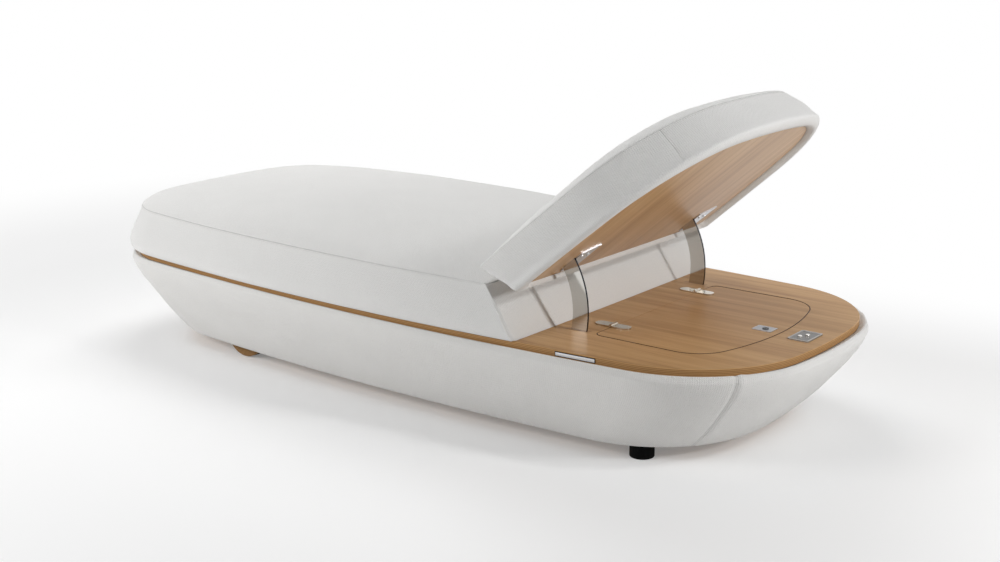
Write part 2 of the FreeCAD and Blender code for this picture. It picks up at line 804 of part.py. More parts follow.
def make_blades():
    curves, lug_middle = blade_curves()
    for hand, sign in mirrored_sides():
        body = padded_body("blade_" + hand + "_body", curves, "blade_thick", "XZ_Plane", True)
        middle = sign + " * blade_apart_half"
        body.setExpression("Placement.Base.y", bound(middle))
        hole = round_bar("blade_hole_" + hand, "tube_radius + shaft_play", "y",
                         (middle + " - blade_thick", middle + " + blade_thick"), tube_x, tube_z)
        placed_back(cut("blade_drilled_" + hand, body, hole), "blade_" + hand)


tube_x = "pivot_at + (%s) * cos(blade_end_angle * 1 deg)" % blade_middle
tube_z = "%s - (%s) * sin(blade_end_angle * 1 deg)" % (pivot_height, blade_middle)
pin_x = "pivot_at + drive_radius * cos(drive_angle * 1 deg)"
pin_z = "%s - drive_radius * sin(drive_angle * 1 deg)" % pivot_height


def make_flanges():
    for hand, sign in mirrored_sides():
        edge = number(sign + " * blade_apart_half + blade_thick / 2")
        far = edge + number("flange_width")
        low = number("flange_foot")
        high = number("flange_head")
        slope = number("flange_cut")
        points = [(low, edge), (high - slope, edge), (high, far), (low, far)]
        body = lifted(padded_body("flange_body_" + hand, loop(points), "flange_thick"),
                      back_under + " - flange_thick")
        holes = [round_bar("flange_hole_%s%d" % (hand, count), "screw_radius + shaft_play", "z",
                           (back_under + " - flange_thick - overrun", back_under + " + overrun"), x, y)
                 for count, (x, y) in enumerate(screw_places()) if number(y) * number(sign) > 0]
        placed_back(cut("flange_drilled_" + hand, body, *holes), "flange_" + hand)


def make_screws():
    screws = []
    under = back_under + " - flange_thick"
    for count, (x, y) in enumerate(screw_places()):
        head = round_bar("screw_head_%d" % count, "screw_head_radius", "z",
                         (under + " - screw_head_height", under), x, y)
        shank = round_bar("screw_shank_%d" % count, "screw_radius", "z",
                          (under + " - screw_head_height / 2", under + " + screw_length"), x, y)
        screws.append(joined("screw_%d" % count, head, shank))
    doc.recompute()
    together = solid("screw_group", Part.makeCompound([screw.Shape for screw in screws]))
    placed_back(together, "flange_screws")


# Blocks that the blades slide in

def make_guides():
    for hand, sign in mirrored_sides():
        middle = sign + " * blade_apart_half"
        lower = block("guide_low_" + hand, ("guide_foot", "guide_head"),
                      (middle + " - guide_half", middle + " + guide_half"),
                      (deck_under + " - guide_depth", deck_under))
        collar = block("guide_collar_" + hand, ("collar_foot + fit_gap", "collar_head - fit_gap"),
                       (middle + " - collar_half + fit_gap", middle + " + collar_half - fit_gap"),
                       (deck_under + " - overrun", "deck_top"))
        whole = joined("guide_whole_" + hand, lower, collar)
        reach = "blade_thick / 2 + blade_side_play"
        span = (middle + " - (%s)" % reach, middle + " + " + reach)
        ring_out = round_bar("channel_out_" + hand, "blade_outer + blade_edge_play", "y", span,
                             "pivot_at", pivot_height)
        ring_in = round_bar("channel_in_" + hand, "blade_inner - blade_edge_play", "y", span,
                            "pivot_at", pivot_height)
        channel = cut("channel_" + hand, ring_out, ring_in)
        named(cut("guide_cut_" + hand, whole, channel), "guide_" + hand)


# Cross tube, lugs and pin at the blades' lower ends

def make_cross_drive():
    reach = "blade_apart_half + blade_thick / 2"
    outer = round_bar("tube_outer", "tube_radius", "y", ("-(%s)" % reach, reach), tube_x, tube_z)
    inner = round_bar("tube_inner", "tube_radius - tube_wall", "y",
                      ("-(%s) - overrun" % reach, reach + " + overrun"), tube_x, tube_z)
    placed_back(cut("tube", outer, inner), "cross_tube")
    tube = vector(number(tube_x), number(tube_z), 0)
    pin = vector(number(pin_x), number(pin_z), 0)
    lugs = []
    for hand, sign in mirrored_sides():
        inside = "eye_half + eye_side_play"
        span = side_span(sign, inside, inside + " + drive_lug_thick")
        plate = padded_body("lug_plate_" + hand, belt(pin, number("drive_lug_round"), tube,
                                                      number("drive_lug_wrap")),
                            "drive_lug_thick", "XZ_Plane", True)
        plate.setExpression("Placement.Base.y", bound("(%s + %s) / 2" % span))
        long = (span[0] + " - overrun", span[1] + " + overrun")
        tube_hole = round_bar("lug_tube_" + hand, "tube_radius + shaft_play", "y", long, tube_x, tube_z)
        pin_hole = round_bar("lug_pin_" + hand, "drive_pin_radius + shaft_play", "y", long, pin_x, pin_z)
        lugs.append(cut("lug_" + hand, plate, tube_hole, pin_hole))
    doc.recompute()
    placed_back(solid("lug_pair", Part.makeCompound([lug.Shape for lug in lugs])), "drive_lugs")
    end = "eye_half + eye_side_play + drive_lug_thick"
    placed_back(round_bar("drive_pin_bar", "drive_pin_radius", "y", ("-(%s)" % end, end), pin_x, pin_z),
                "drive_pin")


def belt(one, one_radius, two, two_radius):
    gap = two - one
    tilt = math.asin((two_radius - one_radius) / gap.Length)
    base = math.atan2(gap.y, gap.x)

    def spot(middle, radius, angle):
        return middle + vector(math.cos(angle), math.sin(angle), 0) * radius

    above = base + math.pi / 2 + tilt
    below = base - math.pi / 2 - tilt
    return [Part.Arc(spot(one, one_radius, above), spot(one, one_radius, base + math.pi),
                     spot(one, one_radius, below)),
            Part.LineSegment(spot(one, one_radius, below), spot(two, two_radius, below)),
            Part.Arc(spot(two, two_radius, below), spot(two, two_radius, base), spot(two, two_radius, above)),
            Part.LineSegment(spot(two, two_radius, above), spot(one, one_radius, above))]


# The electric drive: bracket on the bottom board, housing with its motor, and the rod

def turned_up(x, z):
    angle = math.radians(number("back_angle"))
    away = vector(x - pivot.x, 0, z - pivot.z)
    return vector(pivot.x + away.x * math.cos(angle) - away.z * math.sin(angle), 0,
                  pivot.z + away.x * math.sin(angle) + away.z * math.cos(angle))


def make_actuator():
    rear_z = floor_top + " + actuator_rise"
    rear = vector(number("actuator_at"), 0, number(rear_z))
    front = turned_up(number(pin_x), number(pin_z))
    aim = front - rear
    length = aim.Length
    turn = FreeCAD.Rotation(along, aim)
    placed = FreeCAD.Placement(rear, turn)
    make_bracket(rear_z)
    zero = ("0", "0")
    tube = round_bar("drive_tube", "housing_radius", "x", ("housing_start", "housing_length"), *zero)
    back = block("drive_back", ("0", "2 * housing_start"), ("-housing_back_radius", "housing_back_radius"),
                 ("-2 * bracket_pin_radius", "2 * bracket_pin_radius"))
    boss = round_bar("drive_boss", "housing_back_radius", "y",
                     ("-bracket_inner + eye_side_play", "bracket_inner - eye_side_play"), *zero)
    saddle = block("motor_saddle", ("motor_start", "motor_start + motor_length"),
                   ("-motor_radius / 2", "motor_radius / 2"), ("-motor_offset", "0"))
    bore = round_bar("drive_bore", "rod_radius + rod_play", "x",
                     ("2 * housing_start", "housing_length + overrun"), *zero)
    pin_bore = round_bar("drive_pin_bore", "bracket_pin_radius + shaft_play", "y",
                         ("-bracket_inner - overrun", "bracket_inner + overrun"), *zero)
    motor_room = round_bar("motor_room", "motor_radius + fit_gap", "x",
                           ("motor_start - overrun", "motor_start + motor_length + overrun"),
                           "0", "-motor_offset")
    whole = cut("drive_housing", joined("drive_joined", tube, back, boss, saddle), bore, pin_bore, motor_room)
    doc.recompute()
    named(solid("housing_placed", whole.Shape.copy()), "actuator_housing", placed)
    motor = round_bar("motor_bar", "motor_radius", "x", ("motor_start", "motor_start + motor_length"),
                      "0", "-motor_offset")
    doc.recompute()
    named(solid("motor_placed", motor.Shape.copy()), "actuator_motor", placed)
    named(solid("rod_placed", rod_shape(length)), "actuator_rod", placed)


def rod_shape(length):
    hole = number("drive_pin_radius + eye_slack")
    rim = hole + number("eye_wall")
    ahead = vector(length + number("eye_slack_ahead"), 0, 0)
    behind = vector(length - number("eye_slack_behind"), 0, 0)
    half = number("eye_half")

    def slab(radius, reach):
        wire = Part.Wire([curve.toShape() for curve in belt(behind, radius, ahead, radius)])
        face = Part.Face(wire)
        face.rotate(vector(), along, 90)
        face.translate(across * reach)
        return face.extrude(across * -2 * reach)

    bar = Part.makeCylinder(number("rod_radius"), length - number("rod_start") - hole,
                            vector(number("rod_start"), 0, 0), along)
    return bar.fuse(slab(rim, half)).cut(slab(hole, half + number("overrun")))


def make_bracket(rear_z):
    x = ("actuator_at - bracket_half_length", "actuator_at + bracket_half_length")
    outer = "bracket_inner + bracket_thick"
    top = rear_z + " + housing_back_radius"
    plain = block("bracket_plain", x, ("-(%s)" % outer, outer), (floor_top, top))
    room = block("bracket_room", (x[0] + " - overrun", x[1] + " + overrun"),
                 ("-bracket_inner", "bracket_inner"), (floor_top + " + bracket_thick", top + " + overrun"))
    hole = round_bar("bracket_hole", "bracket_pin_radius + shaft_play", "y",
                     ("-(%s) - overrun" % outer, outer + " + overrun"), "actuator_at", rear_z)
    named(cut("bracket", plain, room, hole), "actuator_bracket")
    named(round_bar("rear_pin", "bracket_pin_radius", "y", ("-(%s)" % outer, outer), "actuator_at", rear_z),
          "actuator_pin")


def make_supply():
    for label, foot, length, half, height in (
            ("battery_pack", "battery_foot", "battery_length", "battery_half", "battery_height"),
            ("control_box", "box_foot", "box_length", "box_half", "box_height")):
        plain = block(label + "_plain", (foot, foot + " + " + length), ("-" + half, half),
                      (floor_top, floor_top + " + " + height))
        above = number(floor_top) + number("fit_gap")
        named(rounded(label + "_rounded", plain, "box_round", lambda edge: edge.BoundBox.ZMax > above), label)


# The storage compartment, its lid, hinges and lock

def make_tub():
    under = number(deck_under)
    wall = number("tub_wall")
    rim_in = number("tub_rim_in")
    floor = number("tub_floor")

    def slab(grow, low, high):
        wire = wire_of(lid_outline(grow))
        wire.translate(up * low)
        return Part.Face(wire).extrude(up * (high - low))

    rim = slab(number("tub_rim_out"), under - wall, under)
    case = slab(wall - rim_in, floor - wall, under)
    room = slab(-rim_in, floor, under + number("overrun"))
    whole = rim.fuse(case).cut(room)
    named(solid("tub", whole.removeSplitter()), "storage_tub")


def make_lid():
    body = padded_body("lid", lid_outline(), "deck_thick")
    lifted(body, deck_under)
    hole = round_bar("lid_barrel_hole", "barrel_radius + shaft_play", "z",
                     (deck_under + " - overrun", "deck_top + overrun"), "lock_hole_at", "0")
    named(cut("lid_drilled", body, hole), "lid_board")


def half_oval(way):
    radius = number("hinge_width / 2")
    reach = number("hinge_length / 2") - radius
    gap = number("hinge_gap / 2")
    spots = [(gap, -radius), (reach, -radius), (reach + radius, 0), (reach, radius), (gap, radius)]
    one, two, three, four, five = [vector(way * x, y, 0) for x, y in spots]
    return [Part.LineSegment(one, two), Part.Arc(two, three, four), Part.LineSegment(four, five),
            Part.LineSegment(five, one)]


def make_hinges():
    axis_z = "deck_top + knuckle_rise"
    for hand, sign in mirrored_sides():
        middle = sign + " * hinge_apart_half"
        ends = "knuckle_length / 2"
        inner = "knuckle_middle / 2"
        for part_name, way in (("deck", -1), ("lid", 1)):
            label = "hinge_%s_%s" % (part_name, hand)
            plate = lifted(padded_body(label + "_plate", half_oval(way), "hinge_plate"), "deck_top")
            plate.setExpression("Placement.Base.x", bound("lid_hinge_at"))
            plate.setExpression("Placement.Base.y", bound(middle))
            low = middle + " - " + ends
            high = middle + " + " + ends
            if part_name == "deck":
                spans = [(low, middle + " - " + inner), (middle + " + " + inner, high)]
                rooms = [(middle + " - %s - hinge_gap" % inner, middle + " + %s + hinge_gap" % inner)]
            else:
                spans = [(middle + " - %s + hinge_gap" % inner, middle + " + %s - hinge_gap" % inner)]
                rooms = [(low + " - hinge_gap", middle + " - %s + hinge_gap" % inner),
                         (middle + " + %s - hinge_gap" % inner, high + " + hinge_gap")]
            knuckles = [round_bar("%s_knuckle%d" % (label, count), "knuckle_radius", "y", span,
                                  "lid_hinge_at", axis_z) for count, span in enumerate(spans)]
            clear = [round_bar("%s_clear%d" % (label, count), "knuckle_radius + hinge_gap", "y", span,
                               "lid_hinge_at", axis_z) for count, span in enumerate(rooms)]
            leaf = joined(label + "_joined", cut(label + "_clear", plate, *clear), *knuckles)
            bore = round_bar(label + "_bore", "hinge_pin_radius + shaft_play", "y",
                             (low + " - overrun", high + " + overrun"), "lid_hinge_at", axis_z)
            named(cut(label, leaf, bore), label)
        named(round_bar("hinge_pin_" + hand, "hinge_pin_radius", "y", (low, high), "lid_hinge_at", axis_z),
              "hinge_pin_" + hand)


def make_lock():
    plate = block("lock_plain", ("lock_foot", "lock_head"), ("-lock_half", "lock_half"),
                  ("deck_top", "deck_top + lock_plate_thick"))
    hole = round_bar("lock_plate_hole", "barrel_radius + shaft_play", "z",
                     ("deck_top - overrun", "deck_top + lock_plate_thick + overrun"), "lock_hole_at", "0")
    named(cut("lock_plate", plate, hole), "lock_plate")
    top = "deck_top + lock_plate_thick"
    cam_top = deck_under + " - cam_drop"
    head = round_bar("barrel_head", "barrel_head_radius", "z", (top, top + " + barrel_head_height"),
                     "lock_hole_at", "0")
    stem = round_bar("barrel_stem", "barrel_radius", "z", (cam_top, top + " + barrel_head_height / 2"),
                     "lock_hole_at", "0")
    slit_half = "barrel_head_height / 2"
    slit = block("barrel_slit", ("lock_hole_at - " + slit_half, "lock_hole_at + " + slit_half),
                 ("-barrel_radius + barrel_head_height", "barrel_radius - barrel_head_height"),
                 (top + " + barrel_head_height / 3", top + " + barrel_head_height + overrun"))
    named(cut("barrel", joined("barrel_joined", head, stem), slit), "lock_barrel")
    cam = block("cam", ("lock_hole_at - cam_half", "lock_hole_at + cam_half"),
                ("-cam_half", "cam_length - cam_half"), (cam_top + " - cam_thick", cam_top))
    named(cam, "lock_cam")
    low = deck_under + " - cam_drop + fit_gap"
    plate = block("keeper_tongue", ("keeper_foot", "lid_tip"), ("-keeper_half", "keeper_half"),
                  (low, low + " + keeper_thick"))
    doc.recompute()
    room = Part.Face(wire_of(lid_outline(-number("tub_rim_in")))).extrude(up * number("deck_top"))
    named(solid("keeper", plate.Shape.common(room)), "lock_keeper")


# The hand switch near the head end, and the plate on the rim

def make_switch():
    top = "deck_top + plate_thick"
    plain = block("plate_plain", ("plate_foot", "plate_head"), ("-plate_half", "plate_half"),
                  ("deck_top", top))
    corners = rounded("plate_corners", plain, "plate_round",
                      lambda edge: edge.BoundBox.ZLength > number("plate_thick / 2"))
    recess = block("plate_recess_room", ("plate_foot + plate_rim", "plate_head - plate_rim"),
                   ("-plate_half + plate_rim", "plate_half - plate_rim"),
                   (top + " - plate_recess", top + " + overrun"))
    holes = []
    for label, x, y in (("raise", "raise_at", "raise_side"), ("lower", "lower_at", "lower_side")):
        holes.append(round_bar("plate_hole_" + label, "button_radius + fit_gap", "z",
                               ("deck_top - overrun", top + " + overrun"), x, y))
        make_button(label, x, y, top)
    named(cut("control", corners, recess, *holes), "control_plate")
    block_top = "deck_top"
    body = block("switch_plain", ("switch_foot", "switch_head"), ("-switch_half", "switch_half"),
                 (deck_under + " - switch_depth", block_top))
    well_foot = block_top + " - button_rise - button_travel - fit_gap"
    wells = [round_bar("switch_well_" + label, "button_stem_radius + fit_gap", "z",
                       (well_foot, block_top + " + overrun"), x, y)
             for label, x, y in (("raise", "raise_at", "raise_side"), ("lower", "lower_at", "lower_side"))]
    named(cut("switch", body, *wells), "switch_block")


def make_button(label, x, y, top):
    cap = round_bar("button_cap_" + label, "button_radius", "z",
                    ("deck_top + button_travel + fit_gap", top + " + button_rise"), x, y)
    stem = round_bar("button_stem_" + label, "button_stem_radius", "z",
                     ("deck_top - button_rise", top), x, y)
    rim = number(top + " + button_rise")
    item = joined("button_joined_" + label, cap, stem)
    near = number("fit_gap")
    soft = rounded("button_soft_" + label, item, "plate_recess / 2",
                   lambda edge: abs(edge.BoundBox.ZMin - rim) < near)
    named(soft, "button_" + label)


def make_label():
    middle = number("deck_top - deck_thick / 2")
    low = middle - number("label_height / 2")
    high = middle + number("label_height / 2")
    outer = Part.Face(wire_of(deck_outline(-number("label_thick")))).extrude(up * (high - low))
    inner = Part.Face(wire_of(deck_outline(0.0))).extrude(up * (high - low))
    ring = outer.cut(inner)
    room = Part.makeBox(number("label_head - label_foot"), number("deck_half_width"), high - low,
                        vector(number("label_foot"), -number("deck_half_width + overrun"), 0))
    shape = ring.common(room)
    shape.translate(up * low)
    named(solid("label", shape), "label_plate")


# The whole lounger

def make_all():
    for step in (make_deck, make_skirt, make_bottom_board, make_frame, make_feet, make_wheels,
                 make_mattress, make_back_pads, make_back_board, make_blades, make_flanges, make_screws,
                 make_guides, make_cross_drive, make_actuator, make_supply, make_tub, make_lid,
                 make_hinges, make_lock, make_switch, make_label):
        step()
        doc.recompute()


def check_and_write():
    faults = [item.Name for item in doc.Objects if {"Invalid", "Error"} & set(item.State)]
    if faults:
        raise RuntimeError("unsound objects: " + ", ".join(faults))
    os.makedirs("parts", exist_ok=True)
    for item in pieces:
        shape = item.Shape
        if not shape.Solids or not shape.isValid():
            raise RuntimeError("unsound shape: " + item.Label)
        shape.exportStep(os.path.join("parts", item.Label + ".step"))
        print("%-22s %3d solid, %9.1f cm3" % (item.Label, len(shape.Solids), shape.Volume / 1000))
    print(len(pieces), "pieces written")


make_all()
check_and_write()
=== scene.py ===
import json
import math

import bpy
import numpy as np
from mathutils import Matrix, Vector
from mathutils.kdtree import KDTree


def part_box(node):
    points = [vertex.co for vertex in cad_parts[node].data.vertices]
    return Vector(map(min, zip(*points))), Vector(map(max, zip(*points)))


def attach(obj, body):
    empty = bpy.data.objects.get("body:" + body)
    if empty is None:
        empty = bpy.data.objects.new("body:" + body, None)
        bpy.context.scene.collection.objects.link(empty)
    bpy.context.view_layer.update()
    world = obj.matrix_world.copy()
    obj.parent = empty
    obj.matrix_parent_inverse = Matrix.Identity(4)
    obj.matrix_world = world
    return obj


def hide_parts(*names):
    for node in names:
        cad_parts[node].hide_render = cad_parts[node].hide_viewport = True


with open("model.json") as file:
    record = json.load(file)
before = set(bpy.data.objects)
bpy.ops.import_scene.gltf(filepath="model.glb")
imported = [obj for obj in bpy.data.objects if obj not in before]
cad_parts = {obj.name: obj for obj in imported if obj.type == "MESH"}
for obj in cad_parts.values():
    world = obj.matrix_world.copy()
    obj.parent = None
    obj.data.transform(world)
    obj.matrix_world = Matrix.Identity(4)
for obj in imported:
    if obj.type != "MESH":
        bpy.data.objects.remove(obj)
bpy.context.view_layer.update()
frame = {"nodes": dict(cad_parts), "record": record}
scene = bpy.context.scene
print("frame loaded")

# Sizes that several pieces share, in metres and degrees

deck = {"halfLength": 1.05, "halfWidth": 0.445, "wideAt": 0.12, "sideRadius": 7.5,
        "headEndRadius": 1.3, "headCornerRadius": 0.305, "footEndRadius": 1.6,
        "footCornerRadius": 0.235, "top": 0.255, "under": 0.237}
back = {"angle": 40.5, "pivotX": 0.334, "pivotZ": 0.295, "boardUnder": 0.268, "boardThick": 0.015,
        "bladeOuter": 0.235}
tiny = 1e-9


# Outlines: a ring starts at the head tip and runs round by the left side.
# An end is the place of its tip, the radius of its arc and the radius of its two corners.

def tangentCorner(end, way, sideMiddle, sideRadius):
    tip, endRadius, cornerRadius = end
    endMiddle = np.array([tip - way * endRadius, 0.0])
    # the corner's middle lies these two distances from the middles of the arcs that it touches
    reach = endRadius - cornerRadius
    span = sideRadius - cornerRadius
    gap = sideMiddle - endMiddle
    far = np.hypot(*gap)
    forth = (reach * reach - span * span + far * far) / (2 * far)
    aside = math.sqrt(max(reach * reach - forth * forth, 0.0))
    unit = gap / far
    normal = np.array([-unit[1], unit[0]])
    middles = [endMiddle + unit * forth + normal * aside * turn for turn in (1, -1)]
    return endMiddle, max(middles, key=lambda point: way * point[0])


def arcPoints(middle, radius, start, stop, count):
    angles = start + (stop - start) * np.linspace(0.0, 1.0, count, endpoint=False)
    return np.stack([middle[0] + radius * np.cos(angles), middle[1] + radius * np.sin(angles)], axis=1)


def angleOf(away):
    return math.atan2(away[1], away[0])


def halfRing(head, foot, sideRadius, wideAt, halfWidth, counts):
    sideMiddle = np.array([wideAt, halfWidth - sideRadius])
    headEnd, headCorner = tangentCorner(head, 1, sideMiddle, sideRadius)
    footEnd, footCorner = tangentCorner(foot, -1, sideMiddle, sideRadius)
    headTurn = angleOf(headCorner - headEnd)
    headSide = angleOf(headCorner - sideMiddle)
    footSide = angleOf(footCorner - sideMiddle)
    footTurn = angleOf(footCorner - footEnd)
    runs = [arcPoints(headEnd, head[1], 0.0, headTurn, counts[0]),
            arcPoints(headCorner, head[2], headTurn, headSide, counts[1]),
            arcPoints(sideMiddle, sideRadius, headSide, footSide, counts[2]),
            arcPoints(footCorner, foot[2], footSide, footTurn, counts[3]),
            arcPoints(footEnd, foot[1], footTurn, math.pi, counts[4]),
            np.array([[foot[0], 0.0]])]
    return np.concatenate(runs)


def fullRing(half, height):
    mirrored = half[1:-1][::-1] * np.array([1.0, -1.0])
    flat = np.concatenate([half, mirrored])
    return np.column_stack([flat, np.full(len(flat), height)])


def ringNormals(ring):
    ahead = np.roll(ring[:, :2], -1, axis=0) - np.roll(ring[:, :2], 1, axis=0)
    length = np.maximum(np.linalg.norm(ahead, axis=1, keepdims=True), tiny)
    return np.column_stack([ahead[:, 1], -ahead[:, 0]]) / length


def valueAt(places, table):
    xs, ys = zip(*table)
    return np.interp(places, xs, ys)


def smoothStep(share):
    return share * share * (3.0 - 2.0 * share)


def lengthsAlong(rows):
    return np.concatenate([[0.0], np.cumsum(np.linalg.norm(np.diff(rows, axis=0), axis=1))])


def densePath(points, step, closed=True):
    rows = np.asarray(points)
    if closed:
        rows = np.vstack([rows, rows[:1]])
    lengths = lengthsAlong(rows)
    spots = np.arange(0.0, lengths[-1], step)
    return np.column_stack([np.interp(spots, lengths, rows[:, axis]) for axis in range(3)])


def awayFrom(points, path):
    tree = KDTree(len(path))
    for spot, point in enumerate(path):
        tree.insert(Vector(point), spot)
    tree.balance()
    return np.array([tree.find(Vector(point))[2] for point in points])


def tiltUp(points):
    turn = math.radians(back["angle"])
    away = points - np.array([back["pivotX"], 0.0, back["pivotZ"]])
    turned = points.copy()
    turned[:, 0] = back["pivotX"] + away[:, 0] * math.cos(turn) - away[:, 2] * math.sin(turn)
    turned[:, 2] = back["pivotZ"] + away[:, 0] * math.sin(turn) + away[:, 2] * math.cos(turn)
    return turned


# Meshes from rings, with a cloth map in metres

def addObject(name, data):
    item = bpy.data.objects.new(name, data)
    scene.collection.objects.link(item)
    return item


def wallFaces(levels, count):
    faces = []
    for level in range(levels - 1):
        low, high = level * count, (level + 1) * count
        for spot in range(count):
            following = (spot + 1) % count
            faces.append((low + spot, low + following, high + following, high + spot))
    return faces


# The last ring is filled with rows of faces from each point to its mate on the other side

def fillLastRing(verts, ring, steps):
    count = len(ring)
    half = count // 2
    top = len(verts) - count
    columns = []
    for spot in range(half + 1):
        mate = (count - spot) % count
        column = [top + spot]
        if spot not in (0, half):
            for step in range(1, steps):
                share = step / steps
                verts.append(tuple(ring[spot] * (1 - share) + ring[mate] * share))
                column.append(len(verts) - 1)
            column.append(top + mate)
        columns.append(column)
    faces = []
    for one, two in zip(columns[1:half - 1], columns[2:half]):
        faces += [(one[step], two[step], two[step + 1], one[step + 1]) for step in range(steps)]
    faces.append(tuple([top] + columns[1]))
    faces.append(tuple([top + half] + columns[half - 1][::-1]))
    return faces


# Wrapped faces are mapped along and across the rings, the others in the plane

def mapCloth(mesh, rings, wrappedFaces):
    count = len(rings[0])
    along = lengthsAlong(rings[len(rings) // 3])
    wholeRound = along[-1] + np.linalg.norm(rings[0][0] - rings[0][-1])
    steps = [np.mean(np.linalg.norm(upper - ring, axis=1)) for ring, upper in zip(rings, rings[1:])]
    across = np.concatenate([[0.0], np.cumsum(steps)])
    uv = mesh.uv_layers.new(name="cloth")
    for face in mesh.polygons:
        closesRing = face.index % count == count - 1
        for loop in face.loop_indices:
            vertex = mesh.loops[loop].vertex_index
            if face.index >= wrappedFaces:
                uv.data[loop].uv = mesh.vertices[vertex].co.xy
                continue
            level, spot = divmod(vertex, count)
            u = wholeRound if closesRing and spot == 0 else along[spot]
            uv.data[loop].uv = (u, across[level])


def meshFromRings(name, rings, fillSteps=0, flatFrom=None):
    count = len(rings[0])
    verts = [tuple(point) for ring in rings for point in ring]
    faces = wallFaces(len(rings), count)
    wrappedFaces = len(faces) if flatFrom is None else flatFrom * count
    if fillSteps:
        faces += fillLastRing(verts, rings[-1], fillSteps)
    mesh = bpy.data.meshes.new(name)
    mesh.from_pydata(verts, [], faces)
    mesh.update()
    mapCloth(mesh, rings, wrappedFaces)
    smoothAll(mesh)
    return addObject(name, mesh)


def smoothAll(mesh):
    mesh.polygons.foreach_set("use_smooth", [True] * len(mesh.polygons))
    mesh.update()


def vertexValues(mesh, name):
    found = np.zeros(len(mesh.vertices) * 3)
    mesh.vertices.foreach_get(name, found)
    return found.reshape(-1, 3)


def pointsOf(mesh):
    return vertexValues(mesh, "co")


def normalsOf(mesh):
    return vertexValues(mesh, "normal")


def setPoints(mesh, points):
    mesh.vertices.foreach_set("co", np.asarray(points, np.float32).ravel())
    mesh.update()


def outward(item, centre):
    points = pointsOf(item.data) - np.array(centre)
    if np.mean(np.sum(normalsOf(item.data) * points, axis=1)) < 0:
        item.data.flip_normals()


def finishedMesh(item):
    depsgraph = bpy.context.evaluated_depsgraph_get()
    return bpy.data.meshes.new_from_object(item.evaluated_get(depsgraph))


def subdivided(item, levels=1):
    modifier = item.modifiers.new("finer", "SUBSURF")
    modifier.levels = levels
    modifier.render_levels = levels
    old = item.data
    finer = finishedMesh(item)
    item.modifiers.remove(modifier)
    item.data = finer
    bpy.data.meshes.remove(old)
    smoothAll(finer)


# A seam is pressed in along its path, and the material reads how far it is away to paint shade along it

def markSeams(item, paths, depth, width, step=0.001):
    dense = np.vstack([densePath(path, step, closed) for path, closed in paths])
    points = pointsOf(item.data)
    away = awayFrom(points, dense)
    pressed = depth * np.exp(-(away / width) ** 2)
    setPoints(item.data, points - normalsOf(item.data) * pressed[:, None])
    layer = item.data.attributes.new("seamAway", "FLOAT", "POINT")
    layer.data.foreach_set("value", away.astype(np.float32))


# Cloth blown up a little between its held seams, capped, then kept as a mesh

blowing = {"frames": 20, "quality": 6, "mass": 0.4, "tension": 30.0, "compression": 12.0, "shear": 10.0,
           "bending": 2.0}


def puffCloth(item, held, cap, pressure, share):
    before = pointsOf(item.data)
    group = item.vertex_groups.new(name="held")
    group.add([int(spot) for spot in held], 1.0, "REPLACE")
    cloth = item.modifiers.new("cloth", "CLOTH")
    settings = cloth.settings
    settings.quality = blowing["quality"]
    settings.mass = blowing["mass"]
    settings.tension_stiffness = blowing["tension"]
    settings.compression_stiffness = blowing["compression"]
    settings.shear_stiffness = blowing["shear"]
    settings.bending_stiffness = blowing["bending"]
    settings.use_pressure = True
    settings.uniform_pressure_force = pressure
    settings.vertex_group_mass = group.name
    settings.effector_weights.gravity = 0.0
    cloth.point_cache.frame_start = 1
    cloth.point_cache.frame_end = blowing["frames"]
    for step in range(1, blowing["frames"] + 1):
        scene.frame_set(step)
    swollen = finishedMesh(item)
    after = pointsOf(swollen)
    bpy.data.meshes.remove(swollen)
    item.modifiers.remove(cloth)
    item.vertex_groups.remove(group)
    scene.frame_set(1)
    move = np.where(np.isfinite(after), after - before, 0.0)
    length = np.linalg.norm(move, axis=1, keepdims=True)
    capped = np.minimum(1.0, cap / np.maximum(length, tiny))
    setPoints(item.data, before + move * capped * share[:, None])
    print(item.name, "cloth moved", round(float(np.max(length)) * 1000, 1), "mm")


# Short words for node trees

def feed(tree, socket, value):
    if isinstance(value, bpy.types.NodeSocket):
        tree.links.new(value, socket)
    elif socket.type == "RGBA" and len(value) == 3:
        socket.default_value = (*value, 1.0)
    else:
        socket.default_value = value


def addNode(tree, kind, inputs=None, **settings):
    node = tree.nodes.new(kind)
    for name, value in settings.items():
        setattr(node, name, value)
    for name, value in (inputs or {}).items():
        feed(tree, node.inputs[name], value)
    return node


def mathNode(tree, kind, *values):
    return addNode(tree, "ShaderNodeMath", dict(enumerate(values)), operation=kind).outputs[0]


def vectorNode(tree, kind, *values):
    return addNode(tree, "ShaderNodeVectorMath", dict(enumerate(values)), operation=kind)


def scaledColour(tree, colour, scale):
    return addNode(tree, "ShaderNodeVectorMath", {0: colour, "Scale": scale}, operation="SCALE").outputs[0]


def noiseNode(tree, place, scale, detail, roughness=0.5, distortion=0.0):
    node = addNode(tree, "ShaderNodeTexNoise", {"Vector": place, "Scale": scale, "Detail": detail,
                                                "Roughness": roughness, "Distortion": distortion})
    return node.outputs["Fac"]


def stretchNode(tree, place, scale):
    return addNode(tree, "ShaderNodeMapping", {"Vector": place, "Scale": scale}).outputs[0]


def partsOf(tree, place):
    return addNode(tree, "ShaderNodeSeparateXYZ", {"Vector": place}).outputs


def bumpNode(tree, height, strength, distance):
    node = addNode(tree, "ShaderNodeBump", {"Height": height, "Strength": strength, "Distance": distance})
    return node.outputs["Normal"]


def rampNode(tree, fac, stops):
    node = addNode(tree, "ShaderNodeValToRGB", {"Fac": fac})
    band = node.color_ramp
    while len(band.elements) < len(stops):
        band.elements.new(0.5)
    for element, (place, colour) in zip(band.elements, stops):
        element.position = place
        element.color = (*colour, 1.0)
    return node.outputs["Color"]


# A colour that wanders between a darker and a lighter tone of itself

